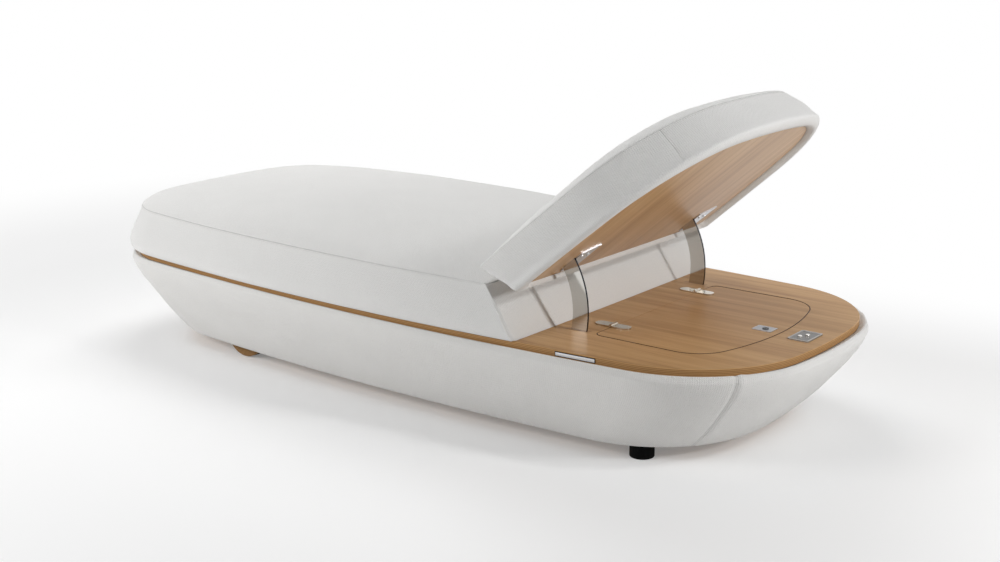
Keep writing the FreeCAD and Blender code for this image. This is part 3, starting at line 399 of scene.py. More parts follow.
def unevenTone(tree, fac, colour, darker, lighter=1.0):
    low = tuple(part * darker for part in colour)
    high = tuple(min(part * lighter, 1.0) for part in colour)
    return rampNode(tree, fac, [(0.3, low), (0.7, high)])


# A Mix node's sockets 6 and 7 are its colours

def mixColour(tree, fac, one, two):
    return addNode(tree, "ShaderNodeMix", {0: fac, 6: one, 7: two}, data_type="RGBA").outputs[2]


def newTree(name, kind, inputs, outputs):
    tree = bpy.data.node_groups.new(name, kind)
    for way, sockets in (("INPUT", inputs), ("OUTPUT", outputs)):
        for label, (sort, start) in sockets.items():
            socket = tree.interface.new_socket(label, in_out=way, socket_type="NodeSocket" + sort)
            if start is not None:
                socket.default_value = start
    return tree, tree.nodes.new("NodeGroupInput").outputs, tree.nodes.new("NodeGroupOutput").inputs


def newMaterial(name):
    material = bpy.data.materials.new(name)
    material.use_nodes = True
    return material, material.node_tree


def objectPlace(tree):
    return addNode(tree, "ShaderNodeTexCoord").outputs["Object"]


def finishMaterial(material, inputs):
    tree = material.node_tree
    shader = tree.nodes["Principled BSDF"]
    for name, value in inputs.items():
        feed(tree, shader.inputs[name], value)
    return material


# Woven cloth: ribs and threads from the cloth map, slubs, a soft unevenness and painted shade along the
# seams' creases

# The two seam values set how dark the painted shade along the seams is, on the pads and on the skirt
cloth = {"pad": (0.82, 0.815, 0.80), "skirt": (0.815, 0.805, 0.785), "rib": 0.0050, "weft": 0.0041,
         "bump": 0.55, "bumpHeight": 0.0009, "seamLine": 0.0016, "padSeamShade": 0.42, "skirtSeamShade": 0.3,
         "slubScale": 260.0, "cloudScale": 9.0, "slubShare": 3.0, "slantShare": 0.3, "ribShare": 0.55,
         "threadTone": 0.04, "threadBase": 0.93, "cloudTone": 0.05, "roughness": 0.92, "sheen": 0.12,
         "specular": 0.2}


def makeWeaveGroup():
    tree, entry, leave = newTree("wovenCloth", "ShaderNodeTree", {
        "Map": ("Vector", None), "Rib": ("Float", 0.005), "Weft": ("Float", 0.0041),
        "Seam Away": ("Float", 1.0), "Seam Shade": ("Float", 0.4), "Seam Line": ("Float", 0.0016),
        "Colour": ("Color", (0.8, 0.8, 0.8, 1.0))}, {"Colour": ("Color", None), "Height": ("Float", None)})
    parts = partsOf(tree, entry["Map"])
    alongTurns = mathNode(tree, "MULTIPLY", parts["X"], mathNode(tree, "DIVIDE", 2 * math.pi, entry["Rib"]))
    acrossTurns = mathNode(tree, "MULTIPLY", parts["Y"], mathNode(tree, "DIVIDE", 2 * math.pi, entry["Weft"]))
    rib = mathNode(tree, "SINE", alongTurns)
    cells = mathNode(tree, "MULTIPLY", rib, mathNode(tree, "SINE", acrossTurns))
    slant = mathNode(tree, "SINE", mathNode(tree, "MULTIPLY_ADD", acrossTurns, 0.5, alongTurns))
    slub = noiseNode(tree, entry["Map"], cloth["slubScale"], 3.0, 0.6)
    cloud = noiseNode(tree, entry["Map"], cloth["cloudScale"], 4.0, 0.55)
    ribbed = mathNode(tree, "MULTIPLY_ADD", rib, cloth["ribShare"], cells)
    threads = mathNode(tree, "MULTIPLY_ADD", slant, cloth["slantShare"], ribbed)
    height = mathNode(tree, "MULTIPLY_ADD", slub, cloth["slubShare"], threads)
    shade = mathNode(tree, "MULTIPLY_ADD", height, cloth["threadTone"], cloth["threadBase"])
    uneven = mathNode(tree, "MULTIPLY_ADD", cloud, cloth["cloudTone"], -cloth["cloudTone"] / 2)
    total = mathNode(tree, "ADD", shade, uneven)
    # Painted shade: the cloth is darker within Seam Line of a seam's crease
    line = addNode(tree, "ShaderNodeMapRange", {"Value": entry["Seam Away"], "From Min": 0.0, "To Min": 1.0,
                                                "From Max": entry["Seam Line"], "To Max": 0.0},
                   interpolation_type="SMOOTHSTEP")
    dark = mathNode(tree, "MULTIPLY", line.outputs["Result"], entry["Seam Shade"])
    final = mathNode(tree, "MULTIPLY", total, mathNode(tree, "SUBTRACT", 1.0, dark))
    feed(tree, leave["Colour"], scaledColour(tree, entry["Colour"], final))
    feed(tree, leave["Height"], height)
    return tree


weaveGroup = makeWeaveGroup()


def makeClothMaterial(name, colour, seamShade):
    material, tree = newMaterial(name)
    uv = addNode(tree, "ShaderNodeUVMap", uv_map="cloth")
    away = addNode(tree, "ShaderNodeAttribute", attribute_name="seamAway")
    weave = addNode(tree, "ShaderNodeGroup", node_tree=weaveGroup, inputs={
        "Map": uv.outputs["UV"], "Rib": cloth["rib"], "Weft": cloth["weft"], "Seam Away": away.outputs["Fac"],
        "Seam Shade": seamShade, "Seam Line": cloth["seamLine"], "Colour": colour}).outputs
    return finishMaterial(material, {
        "Base Color": weave["Colour"], "Roughness": cloth["roughness"], "Sheen Weight": cloth["sheen"],
        "Specular IOR Level": cloth["specular"],
        "Normal": bumpNode(tree, weave["Height"], cloth["bump"], cloth["bumpHeight"])})


thread = {"twistScale": 900.0, "darker": 0.88, "bump": 0.4, "bumpHeight": 0.0003, "roughness": 0.85,
          "specular": 0.2}


def makeThreadMaterial(name, colour):
    material, tree = newMaterial(name)
    twist = noiseNode(tree, objectPlace(tree), thread["twistScale"], 2.0)
    return finishMaterial(material, {
        "Base Color": unevenTone(tree, twist, colour, thread["darker"]), "Roughness": thread["roughness"],
        "Specular IOR Level": thread["specular"],
        "Normal": bumpNode(tree, twist, thread["bump"], thread["bumpHeight"])})


# Wood: long grain lines along the length, pores, layers on the edges, and painted shade on the edges in the
# gap round the lid

# The gap colour is painted shade for the edge faces in the gap round the lid
wood = {"light": (0.61, 0.395, 0.20), "middle": (0.52, 0.318, 0.150), "dark": (0.40, 0.228, 0.103),
        "grainStretch": 0.045, "broadScale": 9.0, "ringScale": 42.0, "ringShare": 0.62,
        "poreScale": 420.0, "poreFrom": 0.62, "poreDepth": 0.16, "pore": (0.17, 0.082, 0.038),
        "layerPitch": 0.0036, "glue": (0.19, 0.092, 0.038), "layerDark": (0.38, 0.205, 0.085),
        "layerLight": (0.54, 0.32, 0.14), "layerMiddle": (0.44, 0.245, 0.10), "gap": (0.045, 0.02, 0.009),
        "lidMiddle": 0.755, "lidHalfLength": 0.18, "lidHalfWidth": 0.285, "edgeBelow": 0.75,
        "bump": 0.12, "bumpHeight": 0.0004, "coatRoughness": 0.25}


def makeWoodGroup():
    tree, entry, leave = newTree(
        "oiledWood", "ShaderNodeTree", {"Place": ("Vector", None), "Edge": ("Float", 0.0)},
        {"Colour": ("Color", None), "Height": ("Float", None)})
    stretched = stretchNode(tree, entry["Place"], (wood["grainStretch"], 1.0, 1.0))
    broad = noiseNode(tree, stretched, wood["broadScale"], 3.0, distortion=0.6)
    rings = noiseNode(tree, stretched, wood["ringScale"], 6.0, 0.65, 0.35)
    pores = noiseNode(tree, stretched, wood["poreScale"], 4.0, 0.7)
    grain = mathNode(tree, "MULTIPLY_ADD", rings, wood["ringShare"],
                     mathNode(tree, "MULTIPLY", broad, 1.0 - wood["ringShare"]))
    colour = rampNode(tree, grain, [(0.36, wood["dark"]), (0.5, wood["middle"]), (0.64, wood["light"])])
    isPore = mathNode(tree, "GREATER_THAN", pores, wood["poreFrom"])
    pored = mixColour(tree, mathNode(tree, "MULTIPLY", isPore, wood["poreDepth"]), colour, wood["pore"])
    parts = partsOf(tree, entry["Place"])
    layer = mathNode(tree, "FRACT", mathNode(tree, "DIVIDE", parts["Z"], wood["layerPitch"]))
    layered = rampNode(tree, layer, [(0.0, wood["glue"]), (0.14, wood["layerDark"]),
                                     (0.5, wood["layerLight"]), (0.86, wood["layerMiddle"]),
                                     (1.0, wood["glue"])])
    # Painted shade: inside the lid's box the edge faces take the dark gap colour in place of their layers
    across = mathNode(tree, "ABSOLUTE", parts["Y"])
    along = mathNode(tree, "ABSOLUTE", mathNode(tree, "SUBTRACT", parts["X"], wood["lidMiddle"]))
    lidGapShadeMask = mathNode(tree, "MULTIPLY", mathNode(tree, "LESS_THAN", across, wood["lidHalfWidth"]),
                     mathNode(tree, "LESS_THAN", along, wood["lidHalfLength"]))
    edgeLayersAndGapShade = mixColour(tree, lidGapShadeMask, layered, wood["gap"])
    feed(tree, leave["Colour"], mixColour(tree, entry["Edge"], pored, edgeLayersAndGapShade))
    feed(tree, leave["Height"], mathNode(tree, "MULTIPLY_ADD", pores, -0.5, rings))
    return tree


woodGroup = makeWoodGroup()


# The raised board's grain and layers are turned with it

def laidFlat(tree, source):
    node = addNode(tree, "ShaderNodeVectorRotate", {"Vector": source, "Axis": (0.0, -1.0, 0.0),
                                                    "Angle": -math.radians(back["angle"])},
                   rotation_type="AXIS_ANGLE")
    return node.outputs[0]


def makeWoodMaterial(name, roughness, gloss=0.06, coat=0.02, tilted=False, shade=1.0):
    material, tree = newMaterial(name)
    coordinates = addNode(tree, "ShaderNodeTexCoord").outputs
    place, facing = coordinates["Object"], coordinates["Normal"]
    if tilted:
        place, facing = laidFlat(tree, place), laidFlat(tree, facing)
    upright = mathNode(tree, "ABSOLUTE", partsOf(tree, facing)["Z"])
    edge = mathNode(tree, "LESS_THAN", upright, wood["edgeBelow"])
    grain = addNode(tree, "ShaderNodeGroup", {"Place": place, "Edge": edge}, node_tree=woodGroup).outputs
    return finishMaterial(material, {
        "Base Color": scaledColour(tree, grain["Colour"], shade), "Roughness": roughness,
        "Specular IOR Level": gloss, "Coat Weight": coat, "Coat Roughness": wood["coatRoughness"],
        "Normal": bumpNode(tree, grain["Height"], wood["bump"], wood["bumpHeight"])})


# Metals, plastics and rubber

brush = {"stretch": 0.06, "brushedScale": 900.0, "plainScale": 60.0, "brushedSpread": 0.16,
         "plainSpread": 0.03, "darker": 0.92}


def makeMetalMaterial(name, colour, roughness, brushed=False):
    material, tree = newMaterial(name)
    stretched = stretchNode(tree, objectPlace(tree), (1.0, 1.0, brush["stretch"] if brushed else 1.0))
    scratch = noiseNode(tree, stretched, brush["brushedScale"] if brushed else brush["plainScale"], 4.0)
    spread = brush["brushedSpread"] if brushed else brush["plainSpread"]
    return finishMaterial(material, {
        "Base Color": unevenTone(tree, scratch, colour, brush["darker"]), "Metallic": 1.0,
        "Roughness": mathNode(tree, "MULTIPLY_ADD", scratch, spread, roughness)})


grained = {"darker": 0.85, "lighter": 1.15, "bump": 0.15, "bumpHeight": 0.0003, "spread": 0.12}


def makePlasticMaterial(name, colour, roughness, grain, gloss=0.3):
    material, tree = newMaterial(name)
    speck = noiseNode(tree, objectPlace(tree), grain, 3.0)
    spread = grained["spread"]
    return finishMaterial(material, {
        "Base Color": unevenTone(tree, speck, colour, grained["darker"], grained["lighter"]),
        "Roughness": mathNode(tree, "MULTIPLY_ADD", speck, spread, roughness - spread / 2),
        "Specular IOR Level": gloss, "Normal": bumpNode(tree, speck, grained["bump"], grained["bumpHeight"])})


# 1 on a box's border of the given widths, 0 inside; a width of 0 leaves its axis out

def borderMask(tree, place, low, high, widths):
    parts = partsOf(tree, place)
    mask = None
    for axis, width in enumerate(widths):
        if width <= 0.0:
            continue
        middle, reach = (low[axis] + high[axis]) / 2, (high[axis] - low[axis]) / 2 - width
        away = mathNode(tree, "ABSOLUTE", mathNode(tree, "SUBTRACT", parts[axis], middle))
        over = mathNode(tree, "GREATER_THAN", away, reach)
        mask = over if mask is None else mathNode(tree, "MAXIMUM", mask, over)
    return mask


plate = {"scratchScale": 800.0, "wearShare": 0.25, "wear": (0.05, 0.05, 0.05), "spread": 0.2, "metallic": 0.9}


def makePlateMaterial(name, node, border, frameTone, insideTone, roughness):
    material, tree = newMaterial(name)
    place = objectPlace(tree)
    rim = borderMask(tree, place, *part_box(node), border)
    scratch = noiseNode(tree, place, plate["scratchScale"], 4.0)
    worn = mathNode(tree, "MULTIPLY", scratch, plate["wearShare"])
    spread = plate["spread"]
    return finishMaterial(material, {
        "Base Color": mixColour(tree, worn, mixColour(tree, rim, insideTone, frameTone), plate["wear"]),
        "Roughness": mathNode(tree, "MULTIPLY_ADD", scratch, spread, roughness - spread / 2),
        "Metallic": plate["metallic"]})


# The blades mirror the room, and their outer edge is darker

blade = {"edgeDepth": 0.0006, "smearScale": 14.0, "darker": 0.94, "spread": 0.04, "roughness": 0.05}


def makeBladeMaterial(name, colour, edgeColour):
    material, tree = newMaterial(name)
    place = objectPlace(tree)
    pivot = (back["pivotX"], 0.0, back["pivotZ"])
    away = vectorNode(tree, "SUBTRACT", place, pivot).outputs[0]
    flat = vectorNode(tree, "MULTIPLY", away, (1.0, 0.0, 1.0)).outputs[0]
    reach = vectorNode(tree, "LENGTH", flat).outputs["Value"]
    edge = mathNode(tree, "GREATER_THAN", reach, back["bladeOuter"] - blade["edgeDepth"])
    smear = noiseNode(tree, place, blade["smearScale"], 3.0)
    tone = unevenTone(tree, smear, colour, blade["darker"])
    return finishMaterial(material, {
        "Base Color": mixColour(tree, edge, tone, edgeColour), "Metallic": 1.0,
        "Roughness": mathNode(tree, "MULTIPLY_ADD", smear, blade["spread"], blade["roughness"])})


materials = {
    "padCloth": makeClothMaterial("padCloth", cloth["pad"], cloth["padSeamShade"]),
    "skirtCloth": makeClothMaterial("skirtCloth", cloth["skirt"], cloth["skirtSeamShade"]),
    "pipingCloth": makeThreadMaterial("pipingCloth", (0.80, 0.79, 0.77)),
    # Painted shade: the dark strip laid in the gap round the lid
    "lidGapShadeStrip": makePlasticMaterial("lidGapShadeStrip", (0.03, 0.016, 0.009), 0.7, 900.0),
    "lidFiller": makePlasticMaterial("lidFiller", (0.50, 0.28, 0.115), 0.5, 900.0, 0.2),
    "oiled_ply": makeWoodMaterial("oiledPly", 0.36),
    "tiltedPly": makeWoodMaterial("oiledPlyTilted", 0.45, 0.35, 0.2, tilted=True),
    # Painted shade: the wheels get a darker copy of the oiled ply for the shadow under the base
    "shadedWheelPly": makeWoodMaterial("shadedWheelPly", 0.5, shade=0.62),
    "raw_ply": makeWoodMaterial("rawPly", 0.7),
    "hingeSteel": makeMetalMaterial("hingeSteel", (0.60, 0.55, 0.47), 0.18),
    "flangeSteel": makeMetalMaterial("flangeSteel", (0.60, 0.60, 0.62), 0.3),
    "mirror_steel": makeMetalMaterial("mirrorSteel", (0.82, 0.80, 0.76), 0.05),
    "brushed_steel": makeMetalMaterial("brushedSteel", (0.66, 0.66, 0.67), 0.22, brushed=True),
    "darkSteel": makeMetalMaterial("darkSteel", (0.05, 0.05, 0.055), 0.3),
    "bladeSteel": makeBladeMaterial("bladeSteel", (0.62, 0.60, 0.565), (0.03, 0.032, 0.04)),
    "lockPlate": makePlateMaterial("lockPlate", "lock_plate", (0.002, 0.002, 0.0),
                                   (0.55, 0.55, 0.57), (0.36, 0.37, 0.40), 0.32),
    "controlPlate": makePlateMaterial("controlPlate", "control_plate", (0.006, 0.006, 0.0),
                                      (0.42, 0.41, 0.40), (0.17, 0.165, 0.16), 0.35),
    "labelPlate": makePlateMaterial("labelPlate", "label_plate", (0.0016, 0.0, 0.0016),
                                    (0.02, 0.02, 0.022), (0.78, 0.78, 0.79), 0.3),
    "painted_steel": makePlasticMaterial("paintedSteel", (0.05, 0.05, 0.052), 0.4, 700.0),
    "black_plastic": makePlasticMaterial("blackPlastic", (0.003, 0.003, 0.003), 0.7, 900.0, 0.05),
    "brown_plastic": makePlasticMaterial("brownPlastic", (0.42, 0.24, 0.11), 0.5, 900.0),
    "grey_plastic": makePlasticMaterial("greyPlastic", (0.25, 0.25, 0.26), 0.55, 900.0),
    "black_rubber": makePlasticMaterial("blackRubber", (0.015, 0.015, 0.015), 0.75, 500.0),
    "pale_fabric": makePlasticMaterial("paleFabric", (0.75, 0.74, 0.72), 0.9, 1500.0),
}
ownFinish = {
    "tiltedPly": ["backrest_board"], "shadedWheelPly": ["wheel_disc_left", "wheel_disc_right"],
    "bladeSteel": ["blade_left", "blade_right"], "flangeSteel": ["flange_left", "flange_right"],
    "hingeSteel": ["hinge_deck_left", "hinge_deck_right", "hinge_lid_left", "hinge_lid_right"],
    "lockPlate": ["lock_plate"], "darkSteel": ["lock_barrel"], "controlPlate": ["control_plate"],
    "labelPlate": ["label_plate"], "mirror_steel": ["button_raise", "button_lower"]}


# A node takes its slot's finish unless it has one of its own

def dressNodes():
    finishes = {part["node"]: part["material_slot"] for part in frame["record"]["subparts"]}
    finishes.update({node: finish for finish, nodes in ownFinish.items() for node in nodes})
    for name, item in frame["nodes"].items():
        item.data.materials.clear()
        item.data.materials.append(materials[finishes[name]])


dressNodes()
print("materials made")

# Stitches and piping follow a path: the trees that make them, and how they are kept as plain meshes


def makeFollowingTree(name, inputs):
    named = {"Geometry": ("Geometry", None), **inputs, "Finish": ("Material", None)}
    tree, entry, leave = newTree(name, "GeometryNodeTree", named, {"Geometry": ("Geometry", None)})
    path = addNode(tree, "GeometryNodeMeshToCurve", {0: entry["Geometry"]}).outputs[0]
    return tree, entry, leave, path


def finishTree(tree, entry, leave, geometry):
    plain = addNode(tree, "GeometryNodeRealizeInstances", {"Geometry": geometry}).outputs[0]
    smooth = addNode(tree, "GeometryNodeSetShadeSmooth", {0: plain}).outputs[0]
    dressed = addNode(tree, "GeometryNodeSetMaterial", {"Geometry": smooth, "Material": entry["Finish"]})
    feed(tree, leave[0], dressed.outputs[0])
    return tree


def makePipingTree():
    tree, entry, leave, path = makeFollowingTree("pipingAlongPath", {"Radius": ("Float", 0.0013),
                                                                     "Sides": ("Int", 8)})
    circle = addNode(tree, "GeometryNodeCurvePrimitiveCircle", {"Radius": entry["Radius"],
                                                               "Resolution": entry["Sides"]})
    swept = addNode(tree, "GeometryNodeCurveToMesh", {"Curve": path, "Fill Caps": True,
                                                      "Profile Curve": circle.outputs["Curve"]})
    return finishTree(tree, entry, leave, swept.outputs[0])


# A stitch is a small bead, stretched along the path by a length that varies a little

bead = {"sides": 6, "rings": 4, "shortest": 0.88, "longest": 1.08}


def makeStitchTree():
    tree, entry, leave, path = makeFollowingTree("stitchesAlongPath", {
        "Pitch": ("Float", 0.007), "Length": ("Float", 0.005), "Thickness": ("Float", 0.001),
        "Seed": ("Int", 4)})
    spots = addNode(tree, "GeometryNodeCurveToPoints", {"Curve": path, "Length": entry["Pitch"]},
                    mode="LENGTH")
    ball = addNode(tree, "GeometryNodeMeshUVSphere", {"Segments": bead["sides"], "Rings": bead["rings"],
                                                      "Radius": 0.5})
    vary = addNode(tree, "FunctionNodeRandomValue", {2: bead["shortest"], 3: bead["longest"],
                                                     "Seed": entry["Seed"]}, data_type="FLOAT")
    long = mathNode(tree, "MULTIPLY", vary.outputs[1], entry["Length"])
    size = addNode(tree, "ShaderNodeCombineXYZ", {"X": entry["Thickness"], "Y": entry["Thickness"],
                                                  "Z": long})
    placed = addNode(tree, "GeometryNodeInstanceOnPoints", {
        "Points": spots.outputs["Points"], "Instance": ball.outputs["Mesh"],
        "Rotation": spots.outputs["Rotation"], "Scale": size.outputs[0]})
    return finishTree(tree, entry, leave, placed.outputs[0])


pipingTree = makePipingTree()
stitchTree = makeStitchTree()


def alongPaths(name, tree, paths, values):
    verts, edges = [], []
    for rows, closed in paths:
        start = len(verts)
        verts += [tuple(point) for point in rows]
        edges += [(start + spot, start + spot + 1) for spot in range(len(rows) - 1)]
        if closed:
            edges.append((len(verts) - 1, start))
    mesh = bpy.data.meshes.new(name + "Path")
    mesh.from_pydata(verts, edges, [])
    item = addObject(name, mesh)
    modifier = item.modifiers.new("repeat", "NODES")
    modifier.node_group = tree
    sockets = [socket for socket in tree.interface.items_tree if socket.in_out == "INPUT"]
    for socket in sockets:
        if socket.name in values:
            modifier[socket.identifier] = values[socket.name]
    made = finishedMesh(item)
    item.modifiers.remove(modifier)
    item.data = made
    bpy.data.meshes.remove(mesh)
    print(name, "has", len(made.polygons), "faces")
    return item


# A path laid on a piece's surface, a little above it

def surfacePath(item, rows, lift, closed=True, step=0.004):
    target = item.evaluated_get(bpy.context.evaluated_depsgraph_get())
    found = []
    for point in densePath(rows, step, closed):
        hit, place, normal, face = target.closest_point_on_mesh(Vector(point))
        found.append(np.array(place + normal * lift))
    return np.array(found)


# The padded skirt: a round lip under the deck, a nearly straight flank, drawn in towards the floor.
# The tables give lengths or shares by the place along the deck, the underEdge rows an inset and a rise.

skirt = {"bottom": 0.034, "headDraw": 0.135, "footDraw": 0.150, "sideDraw": 0.062,
         "headBend": 1.67, "footBend": 1.61, "sideBend": 1.86,
         "headRadiusShare": 0.3, "headCornerShare": 0.18,
         "levels": 48, "levelBend": 1.6, "counts": (30, 64, 100, 40, 30), "deckGap": 0.0002,
         "underEdge": [(0.003, -0.0015), (0.014, 0.0005), (0.014, 0.010)],
         "lipHeight": 0.010, "lipUpRun": 1.6, "lipFrom": 0.05, "lipFade": 0.55, "lipQuickShare": 0.35,
         "lipUp": [(-1.06, 0.0095), (0.3, 0.0095), (0.7, 0.0115), (1.06, 0.0125)],
         "lip": [(-1.06, 0.024), (-0.85, 0.021), (-0.55, 0.014), (0.5, 0.014), (0.85, 0.021), (1.06, 0.023)],
         "lipStays": [(-1.06, 0.12), (-0.6, 0.0), (0.5, 0.0), (0.85, 0.2), (1.06, 0.25)],
         "seamShare": 0.43, "seamFrom": 2, "seamWidth": 0.0022, "seamDepth": 0.0026,
         "foldWidth": 0.014, "foldRise": 0.0018, "foldSoftShare": 0.6, "foldLossShare": 0.6,
         "pitch": 0.008, "stitch": 0.0055, "thread": 0.0011, "stitchAside": 0.005, "stitchLift": 0.0003}


def skirtRing(drop, inset, height):
    head = skirt["headDraw"] * drop ** skirt["headBend"]
    foot = skirt["footDraw"] * drop ** skirt["footBend"]
    side = skirt["sideDraw"] * drop ** skirt["sideBend"]
    headEnd = (deck["halfLength"] - head - inset,
               deck["headEndRadius"] - skirt["headRadiusShare"] * head - inset,
               deck["headCornerRadius"] - skirt["headCornerShare"] * side - inset)
    footEnd = (-deck["halfLength"] + foot + inset, deck["footEndRadius"] - inset,
               deck["footCornerRadius"] - inset)
    half = halfRing(headEnd, footEnd, deck["sideRadius"] - side - inset, deck["wideAt"],
                    deck["halfWidth"] - side - inset, skirt["counts"])
    ring = fullRing(half, height)
    # the lip rounds out and up under the deck's edge
    fall = drop * (deck["under"] - skirt["bottom"])
    reach = min(fall / skirt["lipHeight"], 1.0)
    rise = math.sqrt(1.0 - (1.0 - reach) ** 2)
    lift = math.sin(math.pi * min(reach * skirt["lipUpRun"], 1.0)) * (1.0 - reach)
    ring[:, 2] += valueAt(ring[:, 0], skirt["lipUp"]) * lift
    # and fades down the flank, quickly at first and then softly
    gone = min(max(drop - skirt["lipFrom"], 0.0) / skirt["lipFade"], 1.0)
    quick = skirt["lipQuickShare"]
    gone = gone * (2.0 - gone) * quick + smoothStep(gone) * (1.0 - quick)
    stays = valueAt(ring[:, 0], skirt["lipStays"])
    amount = valueAt(ring[:, 0], skirt["lip"]) * rise * (1.0 - gone * (1.0 - stays))
    ring[:, :2] += ringNormals(ring) * amount[:, None]
    return ring


# The cloth bulges a little on the head side of each seam

def foldBeside(points, count, spot):
    move = np.zeros(len(points))
    for level in range(skirt["levels"]):
        row = np.arange(count) + level * count
        centre = points[level * count + spot]
        away = np.linalg.norm(points[row] - centre, axis=1)
        away = np.where(points[row, 0] > centre[0], away, -away)
        soft = skirt["foldWidth"] * skirt["foldSoftShare"]
        fold = np.exp(-((away - skirt["foldWidth"]) / soft) ** 2)
        move[row] = skirt["foldRise"] * fold * (1.0 - skirt["foldLossShare"] * level / skirt["levels"])
    return move


def makeSkirt():
    low, height = skirt["bottom"], deck["under"] - skirt["bottom"]
    rings = [skirtRing(drop, 0.0, deck["under"] - skirt["deckGap"] - height * drop)
             for drop in np.linspace(0.0, 1.0, skirt["levels"]) ** skirt["levelBend"]]
    rings += [skirtRing(1.0, inset, low + rise) for inset, rise in skirt["underEdge"]]
    item = meshFromRings("skirt", rings)
    outward(item, (0.0, 0.0, deck["under"] / 2))
    points = pointsOf(item.data)
    count = len(rings[0])
    seamSpot = skirt["counts"][0] + int(skirt["seamShare"] * skirt["counts"][1])
    spots = (seamSpot, count - seamSpot)
    seams = [points[[level * count + spot for level in range(skirt["seamFrom"], skirt["levels"])]]
             for spot in spots]
    move = sum(foldBeside(points, count, spot) for spot in spots)
    setPoints(item.data, points + normalsOf(item.data) * move[:, None])
    markSeams(item, [(seam, False) for seam in seams], skirt["seamDepth"], skirt["seamWidth"])
    item.data.materials.append(materials["skirtCloth"])
    aside = np.array([skirt["stitchAside"], 0.0, 0.0])
    rows = [(surfacePath(item, seam + aside, skirt["stitchLift"], closed=False), False) for seam in seams]
    stitches = alongPaths("skirtStitches", stitchTree, rows,
                          {"Pitch": skirt["pitch"], "Length": skirt["stitch"], "Thickness": skirt["thread"],
                           "Seed": 3, "Finish": materials["pipingCloth"]})
    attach(item, "base")
    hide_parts("base_upholstery")
    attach(stitches, "base")


makeSkirt()
print("skirt made")

# Pads: sides in rows of height, inset, and shares of the swell, droop and draw that follow, then a crown.
# One end of a pad is cut on a slant, towards way, and the other follows the deck's outline.

pad = {"endRadius": 30.0, "corner": 0.009, "cornerLeast": 0.005, "cornerLossShare": 0.5,
       "cornerGrowShare": 0.15, "cutShare": 0.35, "footCornerShare": 0.7, "draw": 0.0095,
       "cutFacing": 0.8, "cutBlend": 0.3, "fillSteps": 12,
       "crownRuns": (0.0008, 0.002, 0.0045, 0.008, 0.014, 0.022, 0.032, 0.045, 0.062, 0.085, 0.115, 0.150,
                     0.190, 0.230, 0.270),
       "edgeFacing": 0.5, "edgeBeyond": 0.5, "edgeSteps": 250, "edgeStep": 0.002, "cutMargin": 0.004,
       "sideMargin": 0.001, "alongSoft": 0.07, "softReach": 1.5, "softSteps": 13, "puffFrom": 0.04,
       "puffFade": 0.18, "heldLow": 5, "heldBelow": 3, "heldAbove": 3,
       "seamDepth": 0.0018, "seamWidth": 0.0022, "stitchRow": 3, "stitchLift": 0.0002, "pipingLift": 0.0004,
       "pitch": 0.0075, "stitch": 0.0052, "thread": 0.0011, "piping": 0.0014, "pipingSides": 8}


def padRing(sizes, inset, height, slantHeight):
    way = sizes["way"]
    past = max(inset - pad["draw"], 0.0)
    tip = sizes["end"] - sizes["slant"] * (slantHeight - deck["top"]) - way * past * pad["cutShare"]
    corner = max(pad["corner"] - max(inset, 0.0) * pad["cornerLossShare"], pad["cornerLeast"])
    cutEnd = (tip, pad["endRadius"], corner + pad["cornerGrowShare"] * past)
    head = (deck["halfLength"] - inset, deck["headEndRadius"] - inset, deck["headCornerRadius"] - inset)
    foot = (-deck["halfLength"] + inset, deck["footEndRadius"] - inset,
            deck["footCornerRadius"] - pad["footCornerShare"] * inset)
    ends = (cutEnd, foot) if way > 0 else (head, cutEnd)
    half = halfRing(*ends, deck["sideRadius"] - inset, deck["wideAt"], deck["halfWidth"] - inset,
                    sizes["counts"])
    return fullRing(half, height)


# Swell, droop and draw work on the sides and leave the cut end flat

def shapedRing(sizes, row):
    height, inset, swell, droop, draw = row
    level = min(deck["top"] + height, deck["top"] + sizes["seam"])
    ring = padRing(sizes, inset, deck["top"] + height, level)
    normal = ringNormals(ring)
    free = np.clip((pad["cutFacing"] - sizes["way"] * normal[:, 0]) / pad["cutBlend"], 0.0, 1.0)
    x = ring[:, 0].copy()
    amount = swell * valueAt(x, sizes["swell"]) - draw * valueAt(x, sizes["drawIn"])
    ring[:, :2] += normal * (amount * free)[:, None]
    ring[:, 2] -= droop * valueAt(x, sizes["droop"]) * free
    return ring


def padRings(sizes):
    last = sizes["rows"][-1][1]
    crown = [(sizes["seam"], last + run, 0.0, 0.0, 1.0) for run in pad["crownRuns"]]
    return [shapedRing(sizes, row) for row in sizes["rows"] + crown]


# The crown's height comes from how far a point lies from the sewn edge and from the cut end

def awayFromCut(sizes, points):
    tip = sizes["end"] - sizes["slant"] * sizes["seam"]
    return sizes["way"] * (tip - points[:, 0]) - points[:, 1] ** 2 / (2 * pad["endRadius"])


# The sewn edge leaves the cut end out and runs straight on past it

def sewnEdge(sizes, seam):
    way = sizes["way"]
    sides = seam[way * ringNormals(seam)[:, 0] < pad["edgeFacing"]]
    last = sides[np.argmax(way * sides[:, 0])]
    reach = np.linspace(0.0, pad["edgeBeyond"], pad["edgeSteps"])
    path = [densePath(seam, pad["edgeStep"])]
    for side in (-1.0, 1.0):
        path.append(np.column_stack([last[0] + way * reach, np.full(len(reach), side * abs(last[1])),
                                     np.full(len(reach), last[2])]))
    path = np.vstack(path)
    onSide = np.abs(path[:, 1]) > abs(last[1]) - pad["sideMargin"]
    return path[(awayFromCut(sizes, path) > pad["cutMargin"]) | onSide]


# Lifts all points from number first on, and returns how much of the cloth's swelling each may keep

